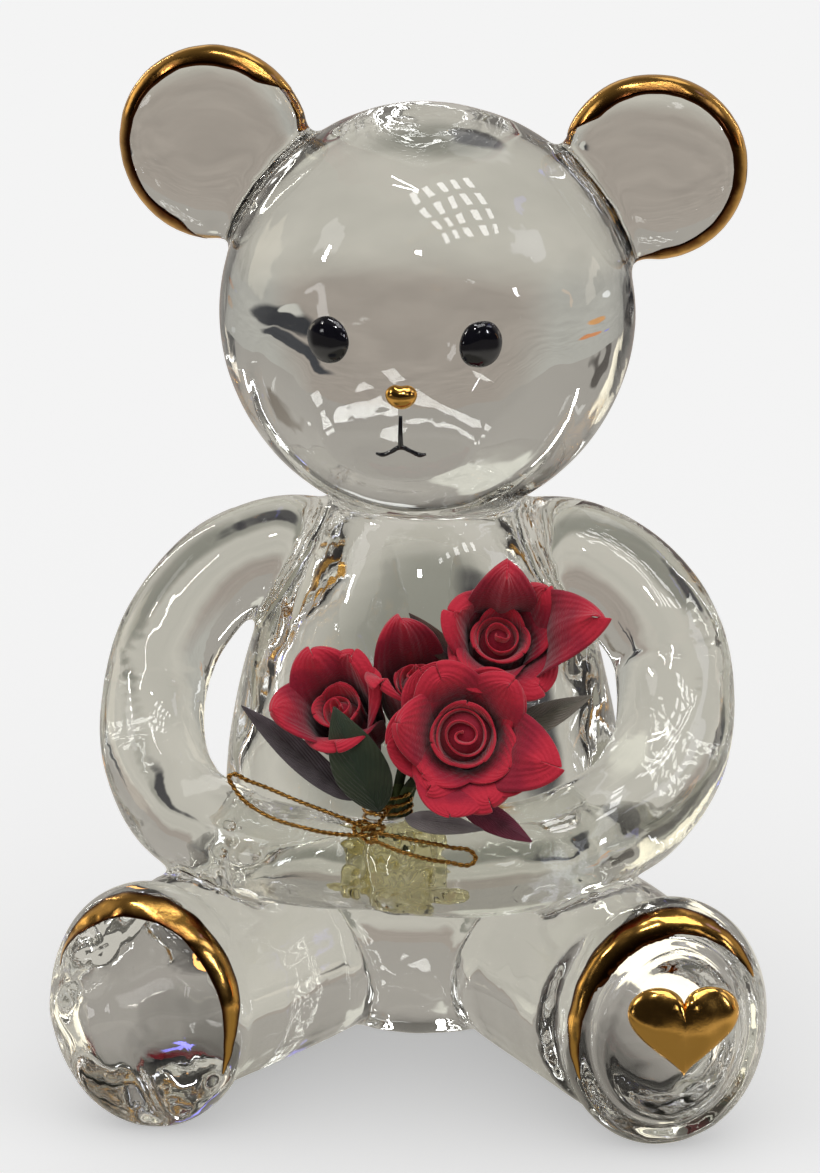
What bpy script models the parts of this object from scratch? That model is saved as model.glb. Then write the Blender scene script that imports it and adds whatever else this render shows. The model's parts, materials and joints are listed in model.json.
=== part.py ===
# Seated teddy bear in clear lampworked glass, with gold lustre on its ears and feet,
# holding a bouquet of fabric roses tied with gold thread.
# Each gather of glass is its own solid, cut back from the gather it was fused onto.
# The bear sits on the plane z = 0 and looks along -Y, so its left side is at +X.

import bpy
import bmesh
from math import acos, cos, pi, radians, sin, sqrt
from mathutils import Matrix, Vector

MM = 0.001

# Clearance between a gather and what it is fused onto, and the lustre's thickness
GAP = 0.3 * MM
LUSTRE = 0.25 * MM

# Distance under which doubled points are welded, and half the side of a cutting block
WELD = 0.001 * MM
FAR = 50.0 * MM

# Torso: an egg standing on a flat seat
TORSO_RADIUS = 13.0 * MM
TORSO_DEPTH_RATIO = 0.9
TORSO_WAIST_Z = 13.5 * MM
TORSO_TOP_Z = 37.5 * MM
TORSO_BELOW_WAIST = 15.5 * MM

# Head and muzzle: ellipsoids
HEAD_CENTRE = Vector((0.2, 0.0, 47.3)) * MM
HEAD_RADII = Vector((13.3, 12.8, 13.4)) * MM
MUZZLE_CENTRE = Vector((-0.2, -9.6, 43.6)) * MM
MUZZLE_RADII = Vector((7.2, 6.2, 5.4)) * MM

# Ears: pressed discs, with gold lustre round part of the rim, in degrees from +X towards +Z
EAR_HALF_THICKNESS = 1.8 * MM
EAR_SQUARENESS = 2.6
EAR_TURN = 8.0
EAR_BAND_FROM = 0.86
EARS = {
    "right": {"centre": Vector((-13.6, 1.6, 57.7)) * MM, "radius": 6.3 * MM, "lustre": (35, 265), "side": -1},
    "left": {"centre": Vector((14.5, 1.6, 56.6)) * MM, "radius": 6.0 * MM, "lustre": (-105, 158), "side": 1},
}

# Eyes, nose and mouth, as places in X and Z on the front of the face
EYE_RADII = Vector((1.35, 0.8, 1.5)) * MM
EYE_TILT = 20.0
EYE_TURN = 22.0
EYE_HEIGHT = 48.3 * MM
EYE_OFFSET = 4.7 * MM
FACE_MIDDLE = -0.2 * MM
NOSE_HEIGHT = 45.3 * MM
NOSE_RADII = Vector((0.95, 0.7, 0.8)) * MM
MOUTH_WIRE = 0.17 * MM
MOUTH_TOP = 44.1 * MM
MOUTH_FORK = 42.2 * MM
MOUTH_CORNER = Vector((1.55, 0, 41.5)) * MM

# Arms: round rods from the shoulders to the paws, which meet at x = 0 in front of PAW_BACK
ARM_RADIUS = {"right": 3.4 * MM, "left": 3.8 * MM}
ARM_ROUTE = {
    "right": [
        (-5.0, 0.5, 31.0), (-10.2, -0.2, 31.2), (-15.2, -1.6, 27.4), (-17.3, -4.0, 21.4), (-15.6, -8.4, 17.1),
        (-11.4, -12.7, 15.8), (-6.2, -15.7, 15.7), (-0.6, -16.9, 15.8), (1.6, -17.0, 15.8),
    ],
    "left": [
        (5.0, 0.5, 31.0), (10.0, -0.2, 31.1), (14.9, -1.8, 28.0), (16.6, -4.2, 23.6), (15.6, -8.2, 19.2),
        (11.8, -12.5, 16.8), (6.4, -15.6, 15.9), (0.6, -16.9, 15.8), (-1.6, -17.0, 15.8),
    ],
}
ARM_TAPER = [1.0, 1.0, 1.0, 1.0, 1.0, 0.98, 0.92, 0.82, 0.8]
PAW_BACK = 8.0 * MM

# Legs: rods from the hips to the ankles, tapering to the feet
LEG_RADIUS = 6.6 * MM
LEG_ROUTE = [(5.6, -1.0, 6.6), (9.6, -7.0, 6.7), (12.8, -13.0, 6.9), (15.0, -19.0, 7.2)]
LEG_TAPER = [0.95, 0.97, 1.0, 1.0]

# Feet: thick upright discs with a flat spot to stand on, and lustre over the top of each sole
FOOT_WIDTH_RADIUS = 6.4 * MM
FOOT_HEIGHT_RADIUS = 7.8 * MM
FOOT_HALF_THICKNESS = 4.2 * MM
FOOT_SQUARENESS = 2.5
FOOT_BAND_FROM = 0.8
FOOT_BAND_DEPTH_FROM = 0.18
FOOT_TURN = 8.0
FOOT_LEAN = 7.0
FOOT_SPLAY = 10.0
FEET = {
    "right": {"centre": Vector((-15.3, -20.6, 7.6)) * MM, "lustre": (-30, 140), "side": -1},
    "left": {"centre": Vector((16.7, -20.6, 7.6)) * MM, "lustre": (40, 210), "side": 1},
}
HEART_WIDTH = 7.2 * MM
HEART_HEIGHT = 5.8 * MM
HEART_THICKNESS = 1.6 * MM
HEART_TAPER = 0.86
HEART_OFFSET = Vector((0.9, 0.0, 1.3)) * MM
HEART_SINK = 0.5 * MM

# Bouquet: roses by centre, radius, half height and the way they face
ROSES = {
    "rose_front": {
        "centre": (4.0, -18.4, 25.3), "radius": 4.5,
        "half_height": 3.7, "faces": (0.05, -0.90, 0.40),
    },
    "rose_top": {
        "centre": (5.3, -14.6, 31.4), "radius": 3.9,
        "half_height": 3.2, "faces": (0.15, -0.75, 0.66),
    },
    "rose_side": {
        "centre": (-4.7, -14.8, 26.4), "radius": 3.7,
        "half_height": 3.2, "faces": (-0.35, -0.60, 0.70),
    },
    "rose_bud": {
        "centre": (-0.4, -14.4, 28.4), "radius": 2.5,
        "half_height": 3.2, "faces": (0.00, -0.40, 0.90),
    },
}
PETALS = 5
PETAL_WAVE = 0.07
KNOT = Vector((-0.6, -14.9, 20.0)) * MM
STEM_RADIUS = 0.35 * MM
STEM_PITCH = 1.05 * MM
STEM_FOOT_Z = 16.8 * MM
STEM_LEAN = 2.0 * MM

# Leaves: base, tip, width and the way the upper face looks
LEAF_THICKNESS = 0.3 * MM
LEAF_ARCH = 0.08
LEAF_DROOP = 0.25
LEAF_POINT = 0.12
LEAVES = {
    "leaf_front": {
        "base": (-1.2, -18.2, 19.8), "tip": (-3.6, -19.6, 26.4),
        "width": 3.0, "faces": (-0.2, -1.0, 0.2),
    },
    "leaf_long": {
        "base": (-3.2, -16.6, 20.2), "tip": (-9.8, -16.6, 25.9),
        "width": 2.0, "faces": (-0.6, -0.7, -0.4),
    },
    "leaf_right": {
        "base": (7.6, -13.2, 23.6), "tip": (12.4, -14.4, 26.2),
        "width": 2.2, "faces": (0.1, -0.9, 0.4),
    },
    "leaf_lower": {
        "base": (3.4, -17.6, 20.0), "tip": (8.4, -19.4, 18.8),
        "width": 2.4, "faces": (0.0, -0.8, 0.6),
    },
    "leaf_grey": {
        "base": (0.6, -18.6, 19.7), "tip": (4.8, -20.4, 18.9),
        "width": 1.8, "faces": (0.0, -0.7, 0.7),
    },
    "leaf_tip": {
        "base": (1.4, -12.2, 29.4), "tip": (0.2, -12.8, 32.4),
        "width": 1.5, "faces": (0.0, -1.0, 0.2),
    },
}

# Bow: a binding round the stems and two open loops of stiff gold thread
THREAD_RADIUS = 0.22 * MM
BINDING_RADIUS = 2.0 * MM
BOW_LOOPS = {
    "bow_loop_right": [(-2.2, -18.9, 19.0), (-6.0, -19.3, 20.6), (-9.4, -19.4, 22.0), (-10.6, -19.4, 22.2),
                       (-10.2, -19.5, 21.4), (-8.6, -19.7, 20.0), (-5.0, -19.8, 18.9), (-2.2, -19.6, 18.3)],
    "bow_loop_left": [(-0.9, -19.6, 18.9), (1.6, -20.4, 18.9), (4.2, -20.7, 18.4), (5.2, -20.7, 17.9),
                      (4.4, -20.8, 17.6), (1.6, -20.7, 17.9), (-0.9, -20.4, 18.3)],
}
GLUE_CENTRE = Vector((0.0, -13.3, 14.3)) * MM
GLUE_RADII = Vector((4.2, 1.9, 2.0)) * MM


def clear_scene():
    for old in list(bpy.data.objects):
        bpy.data.objects.remove(old, do_unlink=True)


def new_collection(name):
    group = bpy.data.collections.new(name)
    bpy.context.scene.collection.children.link(group)
    return group


def finish(name, colour, roughness, metallic=0.0, transmission=0.0):
    made = bpy.data.materials.new(name)
    made.use_nodes = True
    shader = made.node_tree.nodes["Principled BSDF"]
    shader.inputs["Base Color"].default_value = (*colour, 1.0)
    shader.inputs["Roughness"].default_value = roughness
    shader.inputs["Metallic"].default_value = metallic
    shader.inputs["Transmission Weight"].default_value = transmission
    made.diffuse_color = (*colour, 1.0)
    return made


def add_mesh(name, shape, group, surface=None):
    """Make an object from a bmesh, shaded smooth up to 40 degrees."""
    mesh = bpy.data.meshes.new(name)
    shape.to_mesh(mesh)
    shape.free()
    mesh.shade_smooth()
    mesh.set_sharp_from_angle(angle=radians(40))
    made = bpy.data.objects.new(name, mesh)
    place(made, group, surface)
    return made


def place(made, group, surface=None):
    group.objects.link(made)
    if surface:
        made.data.materials.append(surface)
    else:
        made.hide_render = True
        made.display_type = "WIRE"


def combine(piece, other, operation):
    step = piece.modifiers.new(operation.lower(), "BOOLEAN")
    step.operation = operation
    step.solver = "EXACT"
    step.object = other


def ellipsoid(name, centre, radii, group, surface=None, grow=0.0, segments=28, rings=16):
    shape = bmesh.new()
    bmesh.ops.create_uvsphere(shape, u_segments=segments, v_segments=rings, radius=1.0)
    size = [radius + grow for radius in radii]
    bmesh.ops.scale(shape, vec=size, verts=shape.verts)
    made = add_mesh(name, shape, group, surface)
    made.location = centre
    return made


def turned(name, profile, group, surface=None, steps=24):
    """Turn a profile of (radius, height) points, listed from top to bottom, about local Z."""
    shape = bmesh.new()
    corners = [shape.verts.new((radius, 0.0, height)) for radius, height in profile]
    for upper, lower in zip(corners, corners[1:]):
        shape.edges.new((upper, lower))
    made = add_mesh(name, shape, group, surface)
    screw = made.modifiers.new("turn", "SCREW")
    screw.steps = steps
    screw.render_steps = steps
    screw.use_merge_vertices = True
    screw.merge_threshold = WELD
    screw.use_smooth_shade = True
    return made


def disc_profile(radius, half_thickness, squareness, points=11):
    """Half a superellipse: the outline of a pressed disc from its front to its back."""
    outline = []
    for index in range(points):
        angle = pi * index / (points - 1)
        across = abs(sin(angle)) ** (2 / squareness)
        along = abs(cos(angle)) ** (2 / squareness)
        if index in (0, points - 1):
            across = 0.0
        height = half_thickness * along * (1 if index < points / 2 else -1)
        outline.append((radius * across, height))
    return outline


def ring_sector(name, inner, outer, span, depth, group, steps=16):
    """A flat ring sector between two angles, standing along local Z through depth."""
    start, end = (radians(angle) for angle in span)
    angles = [start + (end - start) * index / steps for index in range(steps + 1)]
    shape = bmesh.new()
    bottom, top = depth
    rim = [shape.verts.new((outer * cos(angle), outer * sin(angle), bottom)) for angle in angles]
    bore = [shape.verts.new((inner * cos(angle), inner * sin(angle), bottom)) for angle in reversed(angles)]
    base = shape.faces.new(rim + bore)
    raised = bmesh.ops.extrude_face_region(shape, geom=[base])
    moved = [item for item in raised["geom"] if isinstance(item, bmesh.types.BMVert)]
    bmesh.ops.translate(shape, vec=(0, 0, top - bottom), verts=moved)
    bmesh.ops.recalc_face_normals(shape, faces=shape.faces)
    return add_mesh(name, shape, group)


def rod(name, route, radius, taper, group, surface=None, grow=0.0, resolution=3, sides=3):
    """A round rod along a smooth route, in millimetres, as a mesh with welded caps."""
    curve = bpy.data.curves.new(name, "CURVE")
    curve.dimensions = "3D"
    curve.bevel_depth = radius + grow
    curve.bevel_resolution = sides
    curve.resolution_u = resolution
    curve.use_fill_caps = True
    spline = curve.splines.new("BEZIER")
    spline.bezier_points.add(len(route) - 1)
    for point, place_mm, factor in zip(spline.bezier_points, route, taper):
        point.co = Vector(place_mm) * MM
        point.handle_left_type = "AUTO"
        point.handle_right_type = "AUTO"
        point.radius = factor
    guide = bpy.data.objects.new(name + "_guide", curve)
    bpy.context.scene.collection.objects.link(guide)
    seen = guide.evaluated_get(bpy.context.evaluated_depsgraph_get())
    shape = bmesh.new()
    shape.from_mesh(bpy.data.meshes.new_from_object(seen))
    bmesh.ops.remove_doubles(shape, verts=shape.verts, dist=WELD)
    bmesh.ops.recalc_face_normals(shape, faces=shape.faces)
    bpy.data.objects.remove(guide, do_unlink=True)
    return add_mesh(name, shape, group, surface)


def block(name, offset, group):
    """A large cube whose centre stands at offset, to cut away all on one side of a plane."""
    shape = bmesh.new()
    bmesh.ops.create_cube(shape, size=2 * FAR)
    bmesh.ops.translate(shape, vec=offset, verts=shape.verts)
    return add_mesh(name, shape, group)


def front_of(centre, radii, x, z):
    """Y of the front of an ellipsoid at the given x and z."""
    across = ((x - centre.x) / radii.x) ** 2 + ((z - centre.z) / radii.z) ** 2
    return centre.y - radii.y * sqrt(max(0.0, 1 - across))


def make_torso(name, group, surface=None, grow=0.0):
    crown = TORSO_TOP_Z - TORSO_WAIST_Z + grow
    base = TORSO_BELOW_WAIST + grow
    radius = TORSO_RADIUS + grow
    seat_angle = acos(-(TORSO_WAIST_Z + grow) / base)
    upper_steps, lower_steps = 9, 5
    profile = [(0.0, TORSO_WAIST_Z + crown)]
    for index in range(1, upper_steps + 1):
        angle = pi / 2 * index / upper_steps
        profile.append((radius * sin(angle), TORSO_WAIST_Z + crown * cos(angle)))
    for index in range(1, lower_steps + 1):
        angle = pi / 2 + (seat_angle - pi / 2) * index / lower_steps
        profile.append((radius * sin(angle), TORSO_WAIST_Z + base * cos(angle)))
    profile.append((0.0, -grow))
    made = turned(name, profile, group, surface, steps=28)
    made.scale.y = TORSO_DEPTH_RATIO
    return made


def make_ear(name, ear, group, surface=None, grow=0.0):
    profile = disc_profile(ear["radius"] + grow, EAR_HALF_THICKNESS + grow, EAR_SQUARENESS)
    made = turned(name, profile, group, surface)
    stand_up(made, ear["centre"], ear["side"] * EAR_TURN, 0.0)
    return made


def make_foot(name, foot, group, surface=None, grow=0.0):
    profile = disc_profile(FOOT_WIDTH_RADIUS + grow, FOOT_HALF_THICKNESS + grow, FOOT_SQUARENESS)
    made = turned(name, profile, group, surface)
    made.scale.y = (FOOT_HEIGHT_RADIUS + grow) / (FOOT_WIDTH_RADIUS + grow)
    stand_up(made, foot["centre"], foot["side"] * FOOT_TURN, FOOT_LEAN, foot["side"] * FOOT_SPLAY)
    return made


def stand_up(made, centre, turn, lean, splay=0.0):
    """Turn local Z to face -Y, lean it back and turn it outwards, and tip its top outwards by splay."""
    upright = Matrix.Rotation(radians(turn), 3, "Z") @ Matrix.Rotation(radians(90 - lean), 3, "X")
    made.rotation_euler = (upright @ Matrix.Rotation(radians(-splay), 3, "Z")).to_euler()
    made.location = centre


def make_lustre(name, make_gather, spec, sector, parts, cutters, gold):
    """A thin gold band over part of a gather: an outer skin less an inner one, kept inside a sector."""
    band = make_gather(name, spec, parts, gold, grow=GAP + LUSTRE)
    combine(band, make_gather(name + "_inside", spec, cutters, grow=GAP), "DIFFERENCE")
    sector.location = band.location
    sector.rotation_euler = band.rotation_euler
    sector.scale = band.scale
    combine(band, sector, "INTERSECT")
    return band


def add_ears(parts, cutters, glass, gold):
    head_skin = ellipsoid("head_skin_ears", HEAD_CENTRE, HEAD_RADII, cutters, grow=GAP)
    head_space = ellipsoid("head_space_lustre", HEAD_CENTRE, HEAD_RADII, cutters, grow=2 * GAP)
    for side, ear in EARS.items():
        combine(make_ear("ear_" + side, ear, parts, glass), head_skin, "DIFFERENCE")
        reach = 2 * ear["radius"]
        inner = ear["radius"] * EAR_BAND_FROM
        sector = ring_sector("ear_sector_" + side, inner, reach, ear["lustre"], (-reach, reach), cutters)
        band = make_lustre("ear_lustre_" + side, make_ear, ear, sector, parts, cutters, gold)
        combine(band, head_space, "DIFFERENCE")


def add_feet(parts, cutters, glass, gold):
    table = block("table_space", (0, 0, -FAR), cutters)
    for side, foot in FEET.items():
        gather = make_foot("foot_" + side, foot, parts, glass)
        combine(gather, table, "DIFFERENCE")
        reach = 2 * FOOT_WIDTH_RADIUS
        inner = FOOT_WIDTH_RADIUS * FOOT_BAND_FROM
        depth = (FOOT_HALF_THICKNESS * FOOT_BAND_DEPTH_FROM, reach)
        sector = ring_sector("foot_sector_" + side, inner, reach, foot["lustre"], depth, cutters)
        make_lustre("foot_lustre_" + side, make_foot, foot, sector, parts, cutters, gold)


def add_heart(parts, cutters, gold):
    """A gold heart on the sole of the left foot, from the classic sine and cosine heart curve."""
    steps, curve_height = 28, 29
    shape = bmesh.new()
    rim = []
    for index in range(steps):
        angle = 2 * pi * index / steps
        across = sin(angle) ** 3 / 2
        up = (13 * cos(angle) - 5 * cos(2 * angle) - 2 * cos(3 * angle) - cos(4 * angle)) / curve_height
        rim.append(shape.verts.new((HEART_WIDTH * across, HEART_HEIGHT * up, 0.0)))
    face = shape.faces.new(rim)
    raised = bmesh.ops.extrude_face_region(shape, geom=[face])
    moved = [item for item in raised["geom"] if isinstance(item, bmesh.types.BMVert)]
    bmesh.ops.translate(shape, vec=(0, 0, HEART_THICKNESS), verts=moved)
    bmesh.ops.scale(shape, vec=(HEART_TAPER, HEART_TAPER, 1.0), verts=moved)
    bmesh.ops.recalc_face_normals(shape, faces=shape.faces)
    heart = add_mesh("heart", shape, parts, gold)
    foot = FEET["left"]
    stand_up(heart, foot["centre"], foot["side"] * FOOT_TURN, FOOT_LEAN)
    outwards = Matrix.Rotation(radians(foot["side"] * FOOT_TURN), 3, "Z") @ Vector((0, -1, 0))
    heart.location = foot["centre"] + outwards * (FOOT_HALF_THICKNESS - HEART_SINK) + HEART_OFFSET
    combine(heart, make_foot("foot_skin_heart", foot, cutters, grow=GAP), "DIFFERENCE")


def add_limbs(parts, cutters, glass):
    torso_skin = make_torso("torso_skin_limbs", cutters, grow=GAP)
    table = block("table_space_legs", (0, 0, GAP - FAR), cutters)
    for side, sign in (("right", -1), ("left", 1)):
        arm = rod("arm_" + side, ARM_ROUTE[side], ARM_RADIUS[side], ARM_TAPER, parts, glass)
        combine(arm, torso_skin, "DIFFERENCE")
        other_side = block("other_side_" + side, (sign * (GAP / 2 - FAR), -FAR - PAW_BACK, 0), cutters)
        combine(arm, other_side, "DIFFERENCE")

        route = [(sign * x, y, z) for x, y, z in LEG_ROUTE]
        leg = rod("leg_" + side, route, LEG_RADIUS, LEG_TAPER, parts, glass, sides=4)
        combine(leg, torso_skin, "DIFFERENCE")
        combine(leg, make_foot("foot_skin_leg_" + side, FEET[side], cutters, grow=GAP), "DIFFERENCE")
        arm_skin = rod("arm_skin_" + side, ARM_ROUTE[side], ARM_RADIUS[side], ARM_TAPER, cutters, grow=GAP)
        combine(leg, arm_skin, "DIFFERENCE")
        combine(leg, table, "DIFFERENCE")


def add_face(parts, cutters, glass, black, gold):
    head_skin = ellipsoid("head_skin_face", HEAD_CENTRE, HEAD_RADII, cutters, grow=GAP)
    muzzle = ellipsoid("muzzle", MUZZLE_CENTRE, MUZZLE_RADII, parts, glass, segments=20, rings=12)
    combine(muzzle, head_skin, "DIFFERENCE")

    for side, sign in (("right", -1), ("left", 1)):
        x = FACE_MIDDLE + sign * EYE_OFFSET
        y = front_of(HEAD_CENTRE, HEAD_RADII, x, EYE_HEIGHT)
        eye = ellipsoid("eye_" + side, (x, y, EYE_HEIGHT), EYE_RADII, parts, black, segments=12, rings=8)
        eye.rotation_euler = (0, radians(sign * EYE_TILT), radians(sign * EYE_TURN))
        combine(eye, head_skin, "DIFFERENCE")
        socket = ellipsoid("eye_socket_" + side, eye.location, EYE_RADII, cutters, grow=GAP, segments=12)
        socket.rotation_euler = eye.rotation_euler
        combine(muzzle, socket, "DIFFERENCE")

    muzzle_skin = ellipsoid("muzzle_skin", MUZZLE_CENTRE, MUZZLE_RADII, cutters, grow=GAP, segments=20)
    y = front_of(MUZZLE_CENTRE, MUZZLE_RADII, FACE_MIDDLE, NOSE_HEIGHT)
    nose_place = (FACE_MIDDLE, y, NOSE_HEIGHT)
    nose = ellipsoid("nose", nose_place, NOSE_RADII, parts, gold, segments=12, rings=8)
    combine(nose, muzzle_skin, "DIFFERENCE")

    def on_muzzle(x, z):
        lift = GAP + 1.5 * MOUTH_WIRE
        return (x / MM, (front_of(MUZZLE_CENTRE, MUZZLE_RADII, x, z) - lift) / MM, z / MM)

    line = [on_muzzle(FACE_MIDDLE, z) for z in (MOUTH_TOP, (MOUTH_TOP + MOUTH_FORK) / 2, MOUTH_FORK)]
    drop = MOUTH_CORNER.z - MOUTH_FORK
    smile = [
        on_muzzle(FACE_MIDDLE + share * MOUTH_CORNER.x, MOUTH_FORK + abs(share) * drop)
        for share in (-1, -0.55, 0, 0.55, 1)
    ]
    mouth = rod("mouth", line, MOUTH_WIRE, [1, 1, 1], parts, black, resolution=3, sides=1)
    stroke = rod("mouth_smile", smile, MOUTH_WIRE, [0.8, 1, 1, 1, 0.8], cutters, resolution=3, sides=1)
    combine(mouth, stroke, "UNION")


def make_rose(name, rose, group, surface=None, grow=0.0):
    """A rose as one closed solid: a cup whose rim waves once for each outer petal."""
    shape = bmesh.new()
    bmesh.ops.create_uvsphere(shape, u_segments=20, v_segments=9, radius=1.0)
    for corner in shape.verts:
        flat = Vector((corner.co.x, corner.co.y))
        wave = 1 + PETAL_WAVE * sin(PETALS * flat.angle_signed(Vector((1, 0)), 0.0)) * flat.length
        corner.co.x *= (rose["radius"] * MM + grow) * wave
        corner.co.y *= (rose["radius"] * MM + grow) * wave
        corner.co.z *= rose["half_height"] * MM + grow
    made = add_mesh(name, shape, group, surface)
    made.rotation_mode = "QUATERNION"
    made.rotation_quaternion = Vector(rose["faces"]).to_track_quat("Z", "Y")
    made.location = Vector(rose["centre"]) * MM
    return made


def add_roses(parts, cutters, red):
    earlier = []
    for name, rose in ROSES.items():
        made = make_rose(name, rose, parts, red)
        for other in earlier:
            combine(made, make_rose(name + "_from_" + other, ROSES[other], cutters, grow=GAP), "DIFFERENCE")
        earlier.append(name)


def add_stems(parts, green):
    """One wire stem from the back of each rose, through the binding, down behind the paws."""
    for index, (name, rose) in enumerate(ROSES.items()):
        across = (0.5 - index // 2) * STEM_PITCH
        depth = (index % 2 - 0.5) * STEM_PITCH
        faces = Vector(rose["faces"]).normalized()
        behind = Vector(rose["centre"]) * MM - faces * (rose["half_height"] * MM + 2 * GAP)
        at_knot = KNOT + Vector((across, depth, 0))
        foot = Vector((at_knot.x, at_knot.y + STEM_LEAN, STEM_FOOT_Z))
        halfway = behind.lerp(at_knot, 0.55) - faces * 0.6 * MM
        route = [point / MM for point in (behind, halfway, at_knot, foot)]
        rod("stem" + name[4:], route, STEM_RADIUS, [1, 1, 1, 1], parts, green, resolution=3, sides=1)


def add_leaves(parts, cutters, green):
    """Each leaf is a pointed blade on a short grid, arched along its length and thickened."""
    length_steps, width_steps = 6, 2
    for name, leaf in LEAVES.items():
        base, tip = Vector(leaf["base"]) * MM, Vector(leaf["tip"]) * MM
        along = tip - base
        across = along.cross(Vector(leaf["faces"])).normalized()
        up = across.cross(along).normalized()
        shape = bmesh.new()
        bmesh.ops.create_grid(shape, x_segments=length_steps, y_segments=width_steps, size=0.5)
        for corner in shape.verts:
            share, side = corner.co.x + 0.5, corner.co.y
            wide = leaf["width"] * MM * (LEAF_POINT + (1 - LEAF_POINT) * sin(pi * share))
            arch = up * (LEAF_ARCH * along.length * sin(pi * share) - LEAF_DROOP * wide * abs(side))
            corner.co = base + along * share + across * side * wide + arch
        made = add_mesh(name, shape, parts, green)
        skin = made.modifiers.new("thickness", "SOLIDIFY")
        skin.thickness = LEAF_THICKNESS
        skin.offset = 0.0
        for rose_name, rose in ROSES.items():
            combine(made, make_rose(name + "_from_" + rose_name, rose, cutters, grow=GAP), "DIFFERENCE")


def add_bow(parts, gold):
    shape = bmesh.new()
    circle = bmesh.ops.create_circle(shape, segments=8, radius=2 * THREAD_RADIUS)
    bmesh.ops.rotate(shape, verts=circle["verts"], matrix=Matrix.Rotation(pi / 2, 3, "X"))
    bmesh.ops.translate(shape, verts=circle["verts"], vec=(BINDING_RADIUS, 0, 0))
    bmesh.ops.spin(shape, geom=shape.verts[:] + shape.edges[:], axis=(0, 0, 1), cent=(0, 0, 0),
                   angle=2 * pi, steps=24, use_merge=True)
    bmesh.ops.recalc_face_normals(shape, faces=shape.faces)
    binding = add_mesh("bow_binding", shape, parts, gold)
    binding.location = KNOT
    for name, route in BOW_LOOPS.items():
        rod(name, route, THREAD_RADIUS, [1] * len(route), parts, gold, resolution=2, sides=1)


def add_glue(parts, cutters, glue):
    """The drop of clear glue that fills the space between the paws and the belly."""
    drop = ellipsoid("glue_drop", GLUE_CENTRE, GLUE_RADII, parts, glue, segments=16, rings=10)
    combine(drop, make_torso("torso_skin_glue", cutters, grow=GAP), "DIFFERENCE")
    for side in ("right", "left"):
        skin = rod("arm_skin_glue_" + side, ARM_ROUTE[side], ARM_RADIUS[side], ARM_TAPER, cutters, grow=GAP)
        combine(drop, skin, "DIFFERENCE")


def main():
    clear_scene()
    parts = new_collection("glass_bear")
    cutters = new_collection("cutters")
    glass = finish("clear_glass", (0.86, 0.86, 0.87), 0.03, transmission=1.0)
    gold = finish("gold_lustre", (0.85, 0.55, 0.18), 0.15, metallic=1.0)
    black = finish("black_enamel", (0.012, 0.012, 0.014), 0.1)
    red = finish("red_petals", (0.50, 0.03, 0.06), 0.75)
    green = finish("green_foliage", (0.10, 0.15, 0.07), 0.7)
    thread = finish("gold_thread", (0.62, 0.40, 0.12), 0.3, metallic=1.0)
    glue = finish("clear_glue", (0.72, 0.70, 0.45), 0.15, transmission=0.8)

    make_torso("torso", parts, glass)
    head = ellipsoid("head", HEAD_CENTRE, HEAD_RADII, parts, glass, segments=28, rings=16)
    combine(head, make_torso("torso_skin_head", cutters, grow=GAP), "DIFFERENCE")
    add_ears(parts, cutters, glass, gold)
    add_face(parts, cutters, glass, black, gold)
    add_limbs(parts, cutters, glass)
    add_feet(parts, cutters, glass, gold)
    add_heart(parts, cutters, gold)
    add_roses(parts, cutters, red)
    add_stems(parts, green)
    add_leaves(parts, cutters, green)
    add_bow(parts, thread)
    add_glue(parts, cutters, glue)


main()
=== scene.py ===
import json
import math
import random

import bmesh
import bpy
from mathutils import Matrix, Vector, noise
from mathutils.bvhtree import BVHTree

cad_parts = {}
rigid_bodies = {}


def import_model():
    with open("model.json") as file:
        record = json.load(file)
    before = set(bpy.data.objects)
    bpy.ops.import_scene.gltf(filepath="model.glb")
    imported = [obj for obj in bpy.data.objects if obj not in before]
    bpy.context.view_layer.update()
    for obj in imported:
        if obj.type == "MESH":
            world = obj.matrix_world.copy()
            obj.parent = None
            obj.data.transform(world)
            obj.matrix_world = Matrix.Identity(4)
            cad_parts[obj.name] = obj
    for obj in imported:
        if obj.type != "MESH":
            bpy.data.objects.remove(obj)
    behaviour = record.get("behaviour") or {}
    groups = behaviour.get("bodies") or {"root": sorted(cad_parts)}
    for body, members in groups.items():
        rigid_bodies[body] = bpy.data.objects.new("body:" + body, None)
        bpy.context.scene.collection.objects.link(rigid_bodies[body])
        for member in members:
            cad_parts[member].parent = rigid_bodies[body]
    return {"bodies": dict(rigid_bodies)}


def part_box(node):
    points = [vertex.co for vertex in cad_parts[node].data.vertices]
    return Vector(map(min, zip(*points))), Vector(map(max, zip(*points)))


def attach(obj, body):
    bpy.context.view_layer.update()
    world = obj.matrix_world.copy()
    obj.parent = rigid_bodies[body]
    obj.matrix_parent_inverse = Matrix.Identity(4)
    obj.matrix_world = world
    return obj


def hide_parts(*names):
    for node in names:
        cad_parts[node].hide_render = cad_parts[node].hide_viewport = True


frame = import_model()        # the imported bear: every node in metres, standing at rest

mm = 0.001
scene = bpy.context.scene
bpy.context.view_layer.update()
rootBody = next(iter(frame["bodies"]))
random.seed(7)


# small helpers

def fromHex(text):      # sRGB hex to the linear values that shaders take
    channels = [int(text[i:i + 2], 16) / 255 for i in (0, 2, 4)]
    return tuple(c / 12.92 if c <= 0.04045 else ((c + 0.055) / 1.055) ** 2.4 for c in channels) + (1.0,)


def addNode(tree, kind, inputs=None, **settings):
    node = tree.nodes.new(kind)
    for name, value in settings.items():
        setattr(node, name, value)
    for name, value in (inputs or {}).items():
        if isinstance(value, bpy.types.NodeSocket):
            tree.links.new(value, node.inputs[name])
        else:
            node.inputs[name].default_value = value
    return node


def newMaterial(name):
    made = bpy.data.materials.new(name)
    made.use_nodes = True
    made.node_tree.nodes.clear()
    return made, made.node_tree


def closeMaterial(tree, shader):
    addNode(tree, "ShaderNodeOutputMaterial", {"Surface": shader})


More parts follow.
